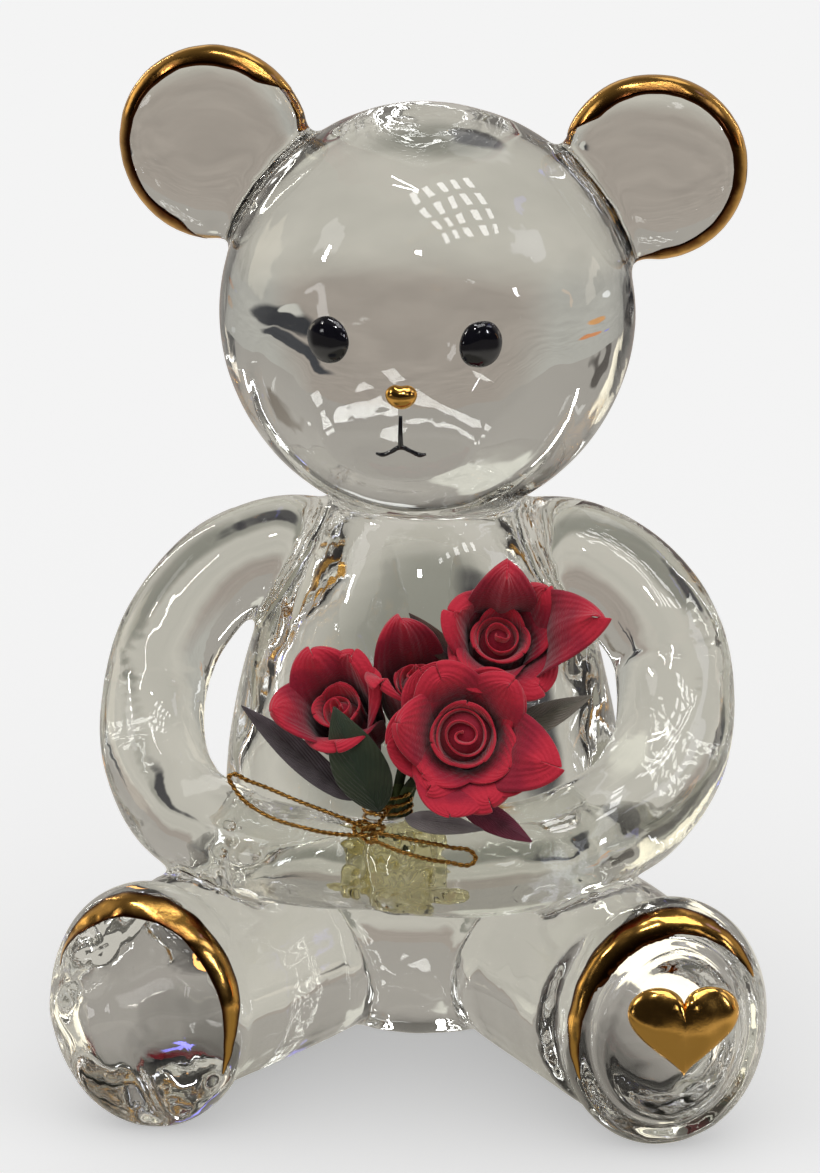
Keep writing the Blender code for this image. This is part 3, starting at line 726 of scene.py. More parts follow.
def softenJoints(mesh):      # the flame rounds every inner corner where two gathers meet
    shape = bmesh.new()
    shape.from_mesh(mesh)
    creases = set()
    for edge in shape.edges:
        if edge.is_manifold and edge.calc_face_angle_signed() < handWork["innerCorner"]:
            creases.update(edge.verts)
    headCentre, _ = headPlace()
    muzzleCentre = headCentre + bear["muzzle"]["place"]
    atMuzzle = {corner for corner in creases
                if (corner.co - muzzleCentre).length < 8.5 * mm and corner.co.z > headCentre.z - 11 * mm}
    atLegs = {corner for corner in creases if corner.co.z < 15 * mm and corner.co.y < -2 * mm}
    soften(shape, ringsOut(atLegs, 2), handWork["legRounds"])
    soften(shape, ringsOut(creases - atLegs, handWork["reach"]), handWork["jointRounds"])
    soften(shape, ringsOut(atMuzzle, handWork["muzzleReach"]), handWork["muzzleRounds"])
    soften(shape, shape.verts, handWork["overall"])
    worked = {}
    for step in range(handWork["markRings"]):      # the tool has marked the glass round each joint
        for corner in ringsOut(creases - atMuzzle, step):
            worked.setdefault(corner, 1 - step / handWork["markRings"])
    shape.normal_update()
    routes = {side: smoothRoute([Vector(point) * mm for point in bear["armRoute"][side]], 10)
              for side in sideSign}

    def drawnLines(corner):      # a pulled rod keeps faint lines along its length
        side = "right" if corner.co.x < 0 else "left"
        if corner.co.z > 36 * mm or corner.co.z < 10 * mm:
            return 0.0
        route = routes[side]
        gap, near = min(((place - corner.co).length, index) for index, place in enumerate(route))
        if gap > bear["armRadius"][side] * 1.15 or near < 12:
            return 0.0
        ahead = (route[min(near + 1, len(route) - 1)] - route[near - 1]).normalized()
        away = corner.co - route[near]
        flat = ahead.cross(Vector((0, 0, 1))).normalized()
        angle = math.atan2(away.dot(flat.cross(ahead)), away.dot(flat))
        along = near / len(route)
        line = noise.noise(Vector((math.cos(angle) * 3.1, math.sin(angle) * 3.1, along * 1.6)))
        return line * handWork["drawn"]

    for corner in shape.verts:      # nothing is ever quite even in hand work
        shares = {"sag": 1.0, "ripple": 1.0, "crinkle": worked.get(corner, 0.0)}
        wave = 0.0
        for kind, share in shares.items():
            size, depth = handWork[kind]
            wave += noise.noise(corner.co / size) * depth * share
        wave += soleDents(corner) + drawnLines(corner)
        corner.co += corner.normal * wave
        corner.co.z = max(corner.co.z, 0.0)
    bmesh.ops.recalc_face_normals(shape, faces=shape.faces)
    shape.to_mesh(mesh)
    shape.free()
    return mesh


seams = {
    # gather: a point on its joint, the way out of the body, half width, half height, depth of what it takes
    "muzzle": ((-0.2, -11.25, 43.3), (0.0, -0.95, -0.3125), 9.5, 7.6, 9.0),
    "ear_right": (None, (-0.765, 0.05, 0.642), 9.0, 9.0, 16.0),
    "ear_left": (None, (0.815, 0.05, 0.578), 9.0, 9.0, 16.0),
    "foot_right": ((-14.3, -16.2, 7.2), (-0.14, -0.99, 0.0), 9.5, 10.0, 12.0),
    "foot_left": ((15.3, -16.2, 7.2), (0.14, -0.99, 0.0), 9.5, 10.0, 12.0),
    "head": ((0.0, 0.0, 35.7), (0.0, 0.0, 1.0), 20.0, 20.0, 40.0),
}
earSeamReach = 12.7 * mm


def seamBox(place, outwards, half, tall, depth):
    shape = bmesh.new()
    bmesh.ops.create_cube(shape, size=1.0)
    bmesh.ops.scale(shape, vec=(2 * half, 2 * tall, depth), verts=shape.verts)
    bmesh.ops.translate(shape, vec=(0, 0, depth / 2), verts=shape.verts)
    turn = Vector(outwards).to_track_quat("Z", "Y").to_matrix().to_4x4()
    bmesh.ops.transform(shape, matrix=Matrix.Translation(place) @ turn, verts=shape.verts)
    return meshFrom(shape, "seam")


def limbShape(name):      # a limb's cutter: a slightly fatter rod
    kind, _, side = name.partition("_")
    if kind == "leg":
        return rodShape(legRoute(side), bear["legRadius"] * 1.35, [1.0] * len(bear["legRoute"]))
    return armRod(side, 0.5 * mm)


def splitGathers(fused):
    rest = fused.copy()
    pieces = {}

    def take(name, cutter):
        nonlocal rest
        pieces[name] = boolean(rest.copy(), cutter.copy(), "INTERSECT", name)
        rest = boolean(rest, cutter, "DIFFERENCE", "rest")

    headCentre, _ = headPlace()
    for name, (place, outwards, half, tall, depth) in seams.items():
        outwards = Vector(outwards).normalized()
        place = Vector(place) * mm if place else headCentre + outwards * earSeamReach
        take(name, seamBox(place, outwards, half * mm, tall * mm, depth * mm))
    for name in ("arm_right", "arm_left", "leg_right", "leg_left"):
        side = sideSign[name.partition("_")[2]]
        if name.startswith("arm"):
            shoulder = seamBox(Vector((side * 10.0, 0, 20.0)) * mm, (side, 0, 0), *[40 * mm] * 3)
            forearm = seamBox(Vector((0, -13.5, 18.0)) * mm, (0, -1, 0), *[40 * mm] * 3)
            half = seamBox(Vector((0, 0, 0)) * mm, (side, 0, 0), *[60 * mm] * 3)
            reach = boolean(shoulder, forearm, "UNION", "reach")
            reach = boolean(reach, half, "INTERSECT", "reach")
        else:
            hip = Vector((side * 8.2, -5.0, 6.6)) * mm
            reach = seamBox(hip, (side * 0.55, -0.83, 0), 14 * mm, 14 * mm, 30 * mm)
        limb = boolean(reach, meshFrom(limbShape(name), "limb"), "INTERSECT", "limb")
        take(name, limb)
    pieces["torso"] = rest
    return pieces


def dressGlass(pieces, fused, glass, joint):
    shape = bmesh.new()
    shape.from_mesh(fused)
    tree = BVHTree.FromBMesh(shape)
    shape.faces.ensure_lookup_table()
    shape.verts.ensure_lookup_table()

    def normalAt(place):      # the unbroken surface's own normal, blended between its corners
        near, _, index, distance = tree.find_nearest(place)
        total = Vector((0, 0, 0))
        for corner in shape.faces[index].verts:
            total += corner.normal / max((corner.co - near).length, 0.002 * mm)
        return total.normalized(), distance

    for name, mesh in pieces.items():
        mesh.materials.clear()
        made = addPiece("glass_" + name, mesh, [glass, joint], [name])
        for face in mesh.polygons:
            _, normal, _, distance = tree.find_nearest(face.center)
            face.material_index = 0 if distance < 0.02 * mm and normal.dot(face.normal) > 0.3 else 1
        normals = [Vector((0, 0, 0))] * len(mesh.loops)
        for face in mesh.polygons:
            for index in face.loop_indices:
                if face.material_index:
                    normals[index] = face.normal.copy()
                else:
                    normals[index] = normalAt(mesh.vertices[mesh.loops[index].vertex_index].co)[0]
        mesh.normals_split_custom_set(normals)
        hidden = sum(face.material_index for face in mesh.polygons)
        print(name, len(mesh.polygons), "faces,", hidden, "on joints")
    return shape


glassMaterial = makeGlassMaterial()
jointMaterial = makeJointMaterial()
fusedMesh = softenJoints(fusedGlass())
print("glass fused", len(fusedMesh.polygons), "faces")
glassPieces = splitGathers(fusedMesh)
skinShape = dressGlass(glassPieces, fusedMesh, glassMaterial, jointMaterial)
print("glass gathers ready")

glassSkin = BVHTree.FromBMesh(skinShape)
skinShape.free()


def onSkin(place, lift=0.0):      # the nearest point of the finished glass, lifted off it along its normal
    near, normal, _, _ = glassSkin.find_nearest(place)
    return near + normal * lift, normal


def frontSkin(x, z):      # the first glass met when looking along +Y
    hit, normal, _, _ = glassSkin.ray_cast(Vector((x, -60 * mm, z)), Vector((0, 1, 0)))
    return hit, normal


def gridShape(columns, rows, where):      # a grid whose u runs -1..1 across and v 0..1 along
    shape = bmesh.new()
    bmesh.ops.create_grid(shape, x_segments=columns, y_segments=rows, size=0.5)
    layer = shape.loops.layers.uv.new("across_along")
    spots = {corner: (2 * corner.co.x, corner.co.y + 0.5) for corner in shape.verts}
    for face in shape.faces:
        for loop in face.loops:
            loop[layer].uv = ((spots[loop.vert][0] + 1) / 2, spots[loop.vert][1])
    for corner, (u, v) in spots.items():
        corner.co = where(u, v)
    bmesh.ops.remove_doubles(shape, verts=shape.verts, dist=0.002 * mm)
    return shape


def joinShapes(shapes, name):
    whole = bmesh.new()
    for shape in shapes:
        part = meshFrom(shape, "part")
        whole.from_mesh(part)
        bpy.data.meshes.remove(part)
    return meshFrom(whole, name)


def thicken(made, thickness, offset=0.0, rounds=1):
    wall = made.modifiers.new("thickness", "SOLIDIFY")
    wall.thickness = thickness
    wall.offset = offset
    if rounds:
        soft = made.modifiers.new("soft", "SUBSURF")
        soft.levels = rounds
        soft.render_levels = rounds


# gold lustre, brushed on the ears and feet, fired to a thin metal film

lustre = {
    "lift": 0.030 * mm,
    "film": 0.055 * mm,
    "waver": 0.026,      # how far the brushed edge wanders, as a share of the half turn across the rim
    # across the rim: middle and half width in degrees from the face's pole; along it: where the brush went
    "ear": {"middle": 88, "half": 36, "taper": 0.10, "right": (35, 265), "left": (-105, 158)},
    "foot": {"middle": 62, "half": 13, "taper": 0.42, "right": (-38, 150), "left": (36, 214)},
}


def makeGoldLustre(name, brushed):      # a bright gold mirror with fine brush drag, browner where it is thin
    material, tree = newMaterial(name)
    where = addNode(tree, "ShaderNodeTexCoord")
    drag = addNode(tree, "ShaderNodeTexNoise", {
        "Vector": where.outputs["Object"], "Scale": 1 / (1.1 * mm), "Detail": 3.0, "Roughness": 0.6,
    })
    margin = 0.06      # a solid gilt drop is all the middle of the stroke
    if brushed:
        spot = addNode(tree, "ShaderNodeSeparateXYZ", {"Vector": where.outputs["UV"]})
        crest = addNode(tree, "ShaderNodeMath", {0: spot.outputs["X"], 1: 0.5}, operation="SUBTRACT")
        margin = addNode(tree, "ShaderNodeMath", {0: crest.outputs[0]}, operation="ABSOLUTE").outputs[0]
    uneven = addNode(tree, "ShaderNodeMath", {
        0: drag.outputs["Fac"], 1: 0.22, 2: margin,
    }, operation="MULTIPLY_ADD")
    thin = addNode(tree, "ShaderNodeMapRange", {
        "Value": uneven.outputs[0], "From Min": 0.24, "From Max": 0.58,
    }, interpolation_type="SMOOTHSTEP")
    tone = addNode(tree, "ShaderNodeMix", {
        "Factor": thin.outputs[0], 6: fromHex("e6b05c"), 7: fromHex("4e2a14"),
    }, data_type="RGBA")
    rough = addNode(tree, "ShaderNodeMapRange", {
        "Value": drag.outputs["Fac"], "From Min": 0.3, "From Max": 0.7, "To Min": 0.10, "To Max": 0.22,
    })
    bump = addNode(tree, "ShaderNodeBump", {
        "Height": drag.outputs["Fac"], "Strength": 0.35, "Distance": 0.05 * mm,
    })
    gold = addNode(tree, "ShaderNodeBsdfPrincipled", {
        "Base Color": tone.outputs[2], "Metallic": 1.0, "Roughness": rough.outputs[0],
        "Normal": bump.outputs["Normal"],
    })
    closeMaterial(tree, gold.outputs[0])
    return material


def brushedBand(place, profileAt, span, stroke, radius, phase):
    start, stop = (math.radians(value) for value in span)

    def where(u, v):
        angle = start + (stop - start) * v
        wander = noise.noise(Vector((angle * 2.2, phase, 0.0))) * 1.6
        wander += noise.noise(Vector((angle * 7, phase, 3.0)))
        near = min(1.0, min(v, 1 - v) / stroke["taper"])
        ending = 0.06 + 0.94 * math.sin(near * math.pi / 2) ** 0.8
        half = math.radians(stroke["half"]) * ending * (1 + lustre["waver"] * wander * 2.2)
        across = math.radians(stroke["middle"]) + u * half + 0.02 * wander
        reach, height = profileAt(across)
        out = Vector((reach * math.cos(angle) * radius[0], reach * math.sin(angle) * radius[1], height))
        spot = place @ out
        return onSkin(spot, lustre["lift"])[0]

    shape = gridShape(14, 110, where)
    bmesh.ops.recalc_face_normals(shape, faces=shape.faces)
    return shape


def makeLustres(gold):
    for kind, half, squareness, tall in (("ear", bear["earHalf"], bear["earSquareness"], 1.0),
                                         ("foot", bear["footHalf"], bear["footSquareness"],
                                          bear["footHeight"] / bear["footWidth"])):
        for side in ("right", "left"):
            radius = bear["earRadius"][side] if kind == "ear" else bear["footWidth"]
            place = earPlace(side) if kind == "ear" else footPlace(side)

            def profileAt(angle):
                across = abs(math.sin(angle)) ** (2 / squareness)
                along = math.copysign(abs(math.cos(angle)) ** (2 / squareness), math.cos(angle))
                return radius * across, half * along

            phase = len(kind) + len(side) * 1.7
            shape = brushedBand(place, profileAt, lustre[kind][side], lustre[kind], (1.0, tall), phase)
            name = "%s_lustre_%s" % (kind, side)
            made = addPiece("gold_" + name, meshFrom(shape, name), [gold], [name])
            thicken(made, lustre["film"], -1.0, 0)


# face: enamel eyes and mouth, gold nose

face = {
    "eyeRadii": Vector((1.38, 0.62, 1.50)) * mm, "eyeTilt": 20, "eyeTurn": 22, "eyeProud": 0.18 * mm,
    "noseRadii": Vector((0.98, 0.62, 0.80)) * mm,
    "line": 0.165 * mm, "mouthTop": 1.10 * mm, "mouthFork": 3.10 * mm,
    "corner": Vector((1.55, 0.0, 0.70)) * mm,
}


def makeEnamel():      # black glass enamel: fired glossy, with a faintly uneven skin
    material, tree = newMaterial("black vitreous enamel")
    where = addNode(tree, "ShaderNodeTexCoord")
    skin = addNode(tree, "ShaderNodeTexNoise", {
        "Vector": where.outputs["Object"], "Scale": 1 / (0.6 * mm), "Detail": 2.0,
    })
    tone = addNode(tree, "ShaderNodeMix", {
        "Factor": skin.outputs["Fac"], 6: fromHex("08080c"), 7: fromHex("15141c"),
    }, data_type="RGBA")
    bump = addNode(tree, "ShaderNodeBump", {
        "Height": skin.outputs["Fac"], "Strength": 0.25, "Distance": 0.04 * mm,
    })
    enamel = addNode(tree, "ShaderNodeBsdfPrincipled", {
        "Base Color": tone.outputs[2], "Roughness": 0.09, "IOR": 1.52, "Coat Weight": 0.6,
        "Coat Roughness": 0.03,
        "Normal": bump.outputs["Normal"],
    })
    closeMaterial(tree, enamel.outputs[0])
    return material


def makeEyes(enamel):
    for side, sign in sideSign.items():
        spot = middle("eye_" + side)
        place, _ = frontSkin(spot.x, spot.z)
        shape = bmesh.new()
        bmesh.ops.create_icosphere(shape, subdivisions=5, radius=1.0)
        for corner in shape.verts:      # the drop of enamel is a little fuller at its lower inner side
            corner.co *= 1 + 0.05 * noise.noise(corner.co * 1.3 + Vector((sign * 3.0, 0, 0)))
        bmesh.ops.scale(shape, vec=face["eyeRadii"], verts=shape.verts)
        turn = (Matrix.Translation(place - Vector((0, face["eyeProud"], 0)))
                @ Matrix.Rotation(math.radians(sign * face["eyeTurn"]), 4, "Z")
                @ Matrix.Rotation(math.radians(sign * face["eyeTilt"]), 4, "Y"))
        bmesh.ops.transform(shape, matrix=turn, verts=shape.verts)
        addPiece("enamel_eye_" + side, meshFrom(shape, "eye"), [enamel], ["eye_" + side])


def makeNose(gold):
    spot = middle("nose")
    place, _ = frontSkin(spot.x, spot.z)
    shape = bmesh.new()
    bmesh.ops.create_icosphere(shape, subdivisions=5, radius=1.0)
    for corner in shape.verts:      # wide above, narrower below, with a soft dimple on top
        corner.co.x *= 1 + 0.16 * corner.co.z
        corner.co.z -= 0.16 * math.exp(-(corner.co.x * 3) ** 2) * max(0.0, corner.co.z)
    bmesh.ops.scale(shape, vec=face["noseRadii"], verts=shape.verts)
    bmesh.ops.translate(shape, vec=place, verts=shape.verts)
    addPiece("gold_nose", meshFrom(shape, "nose"), [gold], ["nose"])


def makeMouth(enamel):
    spot = middle("nose")
    top, fork = spot.z - face["mouthTop"], spot.z - face["mouthFork"]

    def stroke(points, widths):
        route = [frontSkin(x, z)[0] / mm for x, z in points]
        return rodShape(route, face["line"], widths, sides=6, steps=8)

    line = [(spot.x, top + (fork - top) * share) for share in (0, 0.5, 1)]
    smile = []
    for share in (-1, -0.75, -0.4, 0, 0.4, 0.75, 1):
        hook = 0.22 * mm if abs(share) == 1 else 0.0
        drop = face["corner"].z * (abs(share) ** 0.8 if share < 0 else abs(share) ** 1.1)
        smile.append((spot.x + share * face["corner"].x, fork - drop + hook))
    strokes = [stroke(line, [0.7, 0.85, 1.1]), stroke(smile, [0.45, 0.9, 0.8, 1.0, 0.8, 1.0, 0.5])]
    mesh = joinShapes(strokes, "mouth")
    addPiece("enamel_mouth", mesh, [enamel], ["mouth"])


# the little gold heart, a pillow of glass under gold on the left sole

heart = {"width": 6.9 * mm, "height": 5.6 * mm, "swell": 0.75 * mm, "sink": 0.12 * mm}


def makeHeart(gold):
    spot = middle("heart")
    upright = standing(Vector((0, 0, 0)), bear["footTurn"], bear["footLean"]).to_3x3()
    outwards = upright @ Vector((0, 0, 1))
    shape = bmesh.new()
    bmesh.ops.create_uvsphere(shape, u_segments=96, v_segments=32, radius=1.0)
    for corner in shape.verts:
        angle = math.atan2(corner.co.x, corner.co.y)
        share = min(1.0, math.hypot(corner.co.x, corner.co.y)) ** 0.85
        across = math.sin(angle) ** 3 / 2
        up = (13 * math.cos(angle) - 4.2 * math.cos(2 * angle) - 1.8 * math.cos(3 * angle)
              - 0.7 * math.cos(4 * angle)) / 27 + 0.06
        flat = Vector((heart["width"] * across * share, heart["height"] * (up * share), 0))
        level = (1 if corner.co.z > 0 else -0.35) * abs(corner.co.z) ** 0.8 * heart["swell"]
        level += 0.10 * mm * noise.noise(flat / (1.3 * mm)) * share
        base = spot + upright @ flat
        hit, _, _, _ = glassSkin.ray_cast(base + outwards * 6 * mm, -outwards)
        corner.co = (hit or base) + outwards * (level - heart["sink"])
    bmesh.ops.remove_doubles(shape, verts=shape.verts, dist=0.001 * mm)
    bmesh.ops.recalc_face_normals(shape, faces=shape.faces)
    addPiece("gold_heart", meshFrom(shape, "heart"), [gold], ["heart"])


# roses of dyed fabric

# deep is painted shade at the petal's base, lip a painted highlight, body the crimson dye
petalDyeAndPaintedShade = {"deep": "430517", "body": "930c2c", "lip": "be1e36", "weave": 0.16 * mm}


def makePetalMaterial():      # silk petal cloth, dyed: matte, fine weave, creased veins, rolled lips; painted shade darkens each petal towards its base in the cup and a painted highlight lightens its lip
    material, tree = newMaterial("silk petal cloth with painted shade and highlight")
    where = addNode(tree, "ShaderNodeTexCoord")
    spot = addNode(tree, "ShaderNodeSeparateXYZ", {"Vector": where.outputs["UV"]})
    blots = addNode(tree, "ShaderNodeTexNoise", {
        "Vector": where.outputs["Object"], "Scale": 1 / (1.8 * mm), "Detail": 3.0, "Roughness": 0.55,
    })
    cupShadeToLipHighlight = addNode(tree, "ShaderNodeMath", {
        0: blots.outputs["Fac"], 1: 0.45, 2: spot.outputs["Y"],
    }, operation="MULTIPLY_ADD")
    dye = addNode(tree, "ShaderNodeValToRGB", {"Fac": cupShadeToLipHighlight.outputs[0]})
    # the deep end is painted shade in the cup, the lip end a painted highlight; the body between is the dye
    dye.color_ramp.elements[0].position = 0.25
    dye.color_ramp.elements[0].color = fromHex(petalDyeAndPaintedShade["deep"])
    dye.color_ramp.elements[1].position = 1.0
    dye.color_ramp.elements[1].color = fromHex(petalDyeAndPaintedShade["lip"])
    dye.color_ramp.elements.new(0.80).color = fromHex(petalDyeAndPaintedShade["body"])
    veins = addNode(tree, "ShaderNodeTexWave", {
        "Vector": where.outputs["UV"], "Scale": 3.2, "Distortion": 2.5, "Detail": 2.0, "Detail Scale": 1.2,
    })
    weave = addNode(tree, "ShaderNodeTexNoise", {
        "Vector": where.outputs["Object"], "Scale": 1 / petalDyeAndPaintedShade["weave"], "Detail": 1.0,
    })
    relief = addNode(tree, "ShaderNodeMath", {
        0: veins.outputs["Fac"], 1: 0.7, 2: weave.outputs["Fac"],
    }, operation="MULTIPLY_ADD")
    bump = addNode(tree, "ShaderNodeBump", {
        "Height": relief.outputs[0], "Strength": 0.5, "Distance": 0.10 * mm,
    })
    cloth = addNode(tree, "ShaderNodeBsdfPrincipled", {
        "Base Color": dye.outputs["Color"], "Roughness": 0.78, "Sheen Weight": 0.25, "Sheen Roughness": 0.5,
        "Specular IOR Level": 0.3, "Normal": bump.outputs["Normal"],
    })
    closeMaterial(tree, cloth.outputs[0])
    return material


def petalShape(spec, draw):
    around = math.radians(spec["angle"])
    steps = 60
    reach, rise = [spec["foot"]], [spec["floor"]]
    for index in range(steps):      # the petal's spine: out of the cup, up, and over at the lip
        v = (index + 0.5) / steps
        lean = spec["cup"] * max(0.0, 1 - v / 0.4) + spec["lip"] * smoothStep(0.35, 1.0, v) ** 1.3
        reach.append(reach[-1] + math.sin(math.radians(lean)) * spec["length"] / steps)
        rise.append(rise[-1] + math.cos(math.radians(lean)) * spec["length"] / steps)
    ruffle, phase = spec.get("ruffle", 0.10) * mm, draw.uniform(0, 20)

    def where(u, v):
        v = math.sin(v * math.pi / 2) ** 0.85      # rows crowd towards the lip, where the outline turns
        at = v * steps
        low = min(int(at), steps - 1)
        share = at - low
        out = reach[low] + (reach[low + 1] - reach[low]) * share
        high = rise[low] + (rise[low + 1] - rise[low]) * share
        outline = (v + 0.02) ** 0.45 * max(0.0, 1 - v ** spec["belly"]) ** spec["tip"]
        side = u * outline * spec["width"] / 2
        bend = max(out, spec["wrap"])
        turn = side / bend
        roll = spec.get("roll", 0.25) * (abs(u) ** 2.5) * v * v * mm
        wave = ruffle * noise.noise(Vector((u * 1.6 + phase, v * 2.2, phase)))
        fold = spec.get("crease", 0.0) * mm * math.exp(-(u * 4) ** 2) * v
        away = (out + roll - fold) + (bend * (math.cos(turn) - 1)) + wave * (0.3 + v)
        along = bend * math.sin(turn)
        lift = high - 0.35 * roll + wave * v
        return Vector((away * math.cos(around) - along * math.sin(around),
                       away * math.sin(around) + along * math.cos(around), lift))

    return gridShape(12, 16, where)


def roseCushion(size, floor, height):      # the wadding that the middle petals are rolled on
    shape = bmesh.new()
    bmesh.ops.create_icosphere(shape, subdivisions=4, radius=1.0)
    bmesh.ops.scale(shape, vec=(size, size, height), verts=shape.verts)
    bmesh.ops.translate(shape, vec=(0, 0, floor), verts=shape.verts)
    shape.loops.layers.uv.new("across_along")
    for face in shape.faces:
        for loop in face.loops:
            loop[shape.loops.layers.uv[0]].uv = (0.5, 0.5)
    return shape


def heartOfRose(size, floor, height, turns, draw):      # the rolled strip at a rose's middle
    start = draw.uniform(0, 2 * math.pi)

    def where(u, v):
        along = (u + 1) / 2
        angle = start + along * turns * 2 * math.pi
        out = size * (0.05 + 0.95 * along) + 0.12 * size * v ** 4 + 0.04 * size * math.sin(angle * 2.3)
        top = height * (1 - 0.22 * along + 0.05 * math.sin(angle * 1.7))
        return Vector((math.cos(angle) * out, math.sin(angle) * out, floor + v * top))

    return gridShape(90, 8, where)


bouquet = {
    "petal": 0.15 * mm,
    "rose_front": {
        "faces": (0.05, -0.93, 0.32), "seed": 3, "fullness": 1.52, "shift": (0.1, 0.0, -0.5),
        "middle": (1.15, -2.2, 4.0, 2.6),
        "whorls": [(3, 1.25, 3.0, 5.0, 12, 10, 2.6), (4, 1.75, 3.4, 5.2, 30, 14, 2.5),
                   (5, 2.3, 3.9, 5.0, 46, 18, 2.5)],
        "outer": [
            dict(angle=-18, length=6.4, width=6.6, cup=62, lip=66, tip=0.80, crease=0.35),
            dict(angle=-68, length=5.2, width=5.6, cup=55, lip=58, tip=0.45),
            dict(angle=-122, length=5.0, width=4.8, cup=52, lip=50, tip=0.50, crease=0.2),
            dict(angle=170, length=5.6, width=6.2, cup=50, lip=38, tip=0.55),
            dict(angle=112, length=5.4, width=5.6, cup=50, lip=42, tip=0.50),
            dict(angle=48, length=5.4, width=5.4, cup=52, lip=46, tip=0.60),
        ],
    },
    "rose_top": {
        "faces": (0.12, -0.80, 0.58), "seed": 11, "fullness": 1.58, "shift": (0.7, 0.0, -1.7),
        "middle": (0.85, -1.8, 3.2, 2.1),
        "whorls": [(3, 1.0, 2.7, 4.0, 14, 10, 2.4), (3, 1.5, 3.2, 4.2, 32, 16, 2.4)],
        "outer": [
            dict(angle=84, length=6.2, width=5.0, cup=34, lip=18, tip=0.95, crease=0.35),
            dict(angle=-4, length=7.4, width=6.2, cup=64, lip=44, tip=0.85, crease=0.35),
            dict(angle=-58, length=4.8, width=5.4, cup=56, lip=56, tip=0.50),
            dict(angle=160, length=4.8, width=5.0, cup=44, lip=24, tip=0.50),
            dict(angle=-125, length=4.6, width=5.0, cup=50, lip=40, tip=0.50),
            dict(angle=40, length=5.2, width=4.6, cup=48, lip=34, tip=0.70),
        ],
    },
    "rose_side": {
        "faces": (-0.20, -0.70, 0.68), "seed": 23, "fullness": 1.40, "shift": (0.9, -0.6, -1.5),
        "middle": (0.70, -1.7, 3.2, 1.8),
        "whorls": [(3, 1.0, 2.8, 4.2, 10, 8, 2.3)],
        "outer": [
            dict(angle=125, length=5.6, width=6.0, cup=46, lip=20, tip=0.55, crease=0.2),
            dict(angle=-150, length=5.8, width=6.2, cup=52, lip=30, tip=0.60),
            dict(angle=30, length=4.8, width=5.4, cup=44, lip=26, tip=0.50),
            dict(angle=-70, length=5.0, width=5.8, cup=50, lip=38, tip=0.50),
            dict(angle=75, length=5.2, width=5.2, cup=44, lip=22, tip=0.55),
        ],
    },
    "rose_bud": {
        "faces": (0.0, -0.62, 0.78), "seed": 31, "fullness": 1.62, "shift": (1.1, -0.4, -1.8),
        "middle": (0.55, -2.0, 3.6, 1.6),
        "whorls": [(3, 0.75, 2.4, 4.2, 6, 6, 2.2)],
        "outer": [
            dict(angle=110, length=5.6, width=4.6, cup=34, lip=10, tip=0.70, crease=0.25),
            dict(angle=-130, length=5.4, width=4.6, cup=36, lip=14, tip=0.55),
            dict(angle=-20, length=5.2, width=4.6, cup=34, lip=14, tip=0.60),
        ],
    },
}


def makeRose(name, spec, material):
    draw = random.Random(spec["seed"])
    size, floor, height, turns = spec["middle"]
    shapes = [heartOfRose(size * mm, floor * mm, height * mm, turns, draw),
              roseCushion(size * 1.35 * mm, floor * mm, (height - 0.62) * mm)]
    for level, (count, foot, length, width, lip, cup, wrap) in enumerate(spec["whorls"]):
        start = draw.uniform(0, 360)
        for index in range(count):
            shapes.append(petalShape({
                "angle": start + index * 360 / count + draw.uniform(-9, 9), "foot": foot * 0.55 * mm,
                "floor": (floor - 0.1 * level) * mm, "length": length * draw.uniform(0.94, 1.06) * 1.15 * mm,
                "width": width * draw.uniform(0.92, 1.1) * mm, "cup": cup + 14, "lip": lip * 1.5,
                "belly": 4.0, "tip": 0.42, "wrap": foot * mm, "roll": 0.12, "ruffle": 0.10,
            }, draw))
    for outer in spec["outer"]:
        shapes.append(petalShape({
            "angle": outer["angle"], "foot": 0.5 * mm, "floor": (floor - 0.7) * mm,
            "length": outer["length"] * mm,
            "width": outer["width"] * mm, "cup": outer["cup"], "lip": outer["lip"], "belly": 3.2,
            "tip": outer["tip"], "wrap": 2.3 * mm, "roll": 0.5, "ruffle": 0.30,
            "crease": outer.get("crease", 0.0),
        }, draw))
    place = (Matrix.Translation(middle(name) + Vector(spec["shift"]) * mm)
             @ Vector(spec["faces"]).normalized().to_track_quat("Z", "Y").to_matrix().to_4x4()
             @ Matrix.Scale(spec["fullness"], 4))
    mesh = joinShapes(shapes, name)
    mesh.transform(place)
    made = addPiece("silk_" + name, mesh, [material], [name])
    thicken(made, bouquet["petal"], 0.0, 1)


# leaves and stems

leaves = {
    "thickness": 0.12 * mm,
    # base, tip, width, which way the blade faces, arch, then the dyes of the blade and of its edge
    "leaf_front": ((-1.2, -18.2, 19.8), (-3.9, -19.4, 27.0), 3.6, (-0.15, -0.95, 0.25), 0.7,
                   "1f3320", "35412c"),
    "leaf_long": ((-3.0, -16.8, 20.0), (-10.0, -16.6, 26.0), 1.9, (-0.1, -0.9, 0.5), -0.4,
                  "4c4449", "6d646a"),
    "leaf_right": ((5.4, -14.8, 23.4), (11.8, -14.6, 26.6), 2.0, (0.1, -0.8, 0.6), 0.4, "6b6a5c", "8d877c"),
    "leaf_lower": ((3.8, -18.0, 20.6), (8.4, -19.6, 18.6), 1.8, (0.2, -0.9, 0.45), 0.3, "5a1a30", "7c2440"),
    "leaf_grey": ((0.4, -18.7, 19.6), (5.4, -19.9, 19.4), 1.5, (0.0, -0.85, 0.55), 0.4, "6e6668", "8a8282"),
    "leaf_tip": ((3.4, -13.8, 28.0), (0.2, -13.4, 31.3), 1.4, (-0.2, -0.9, 0.4), 0.2, "35222e", "5c4436"),
}


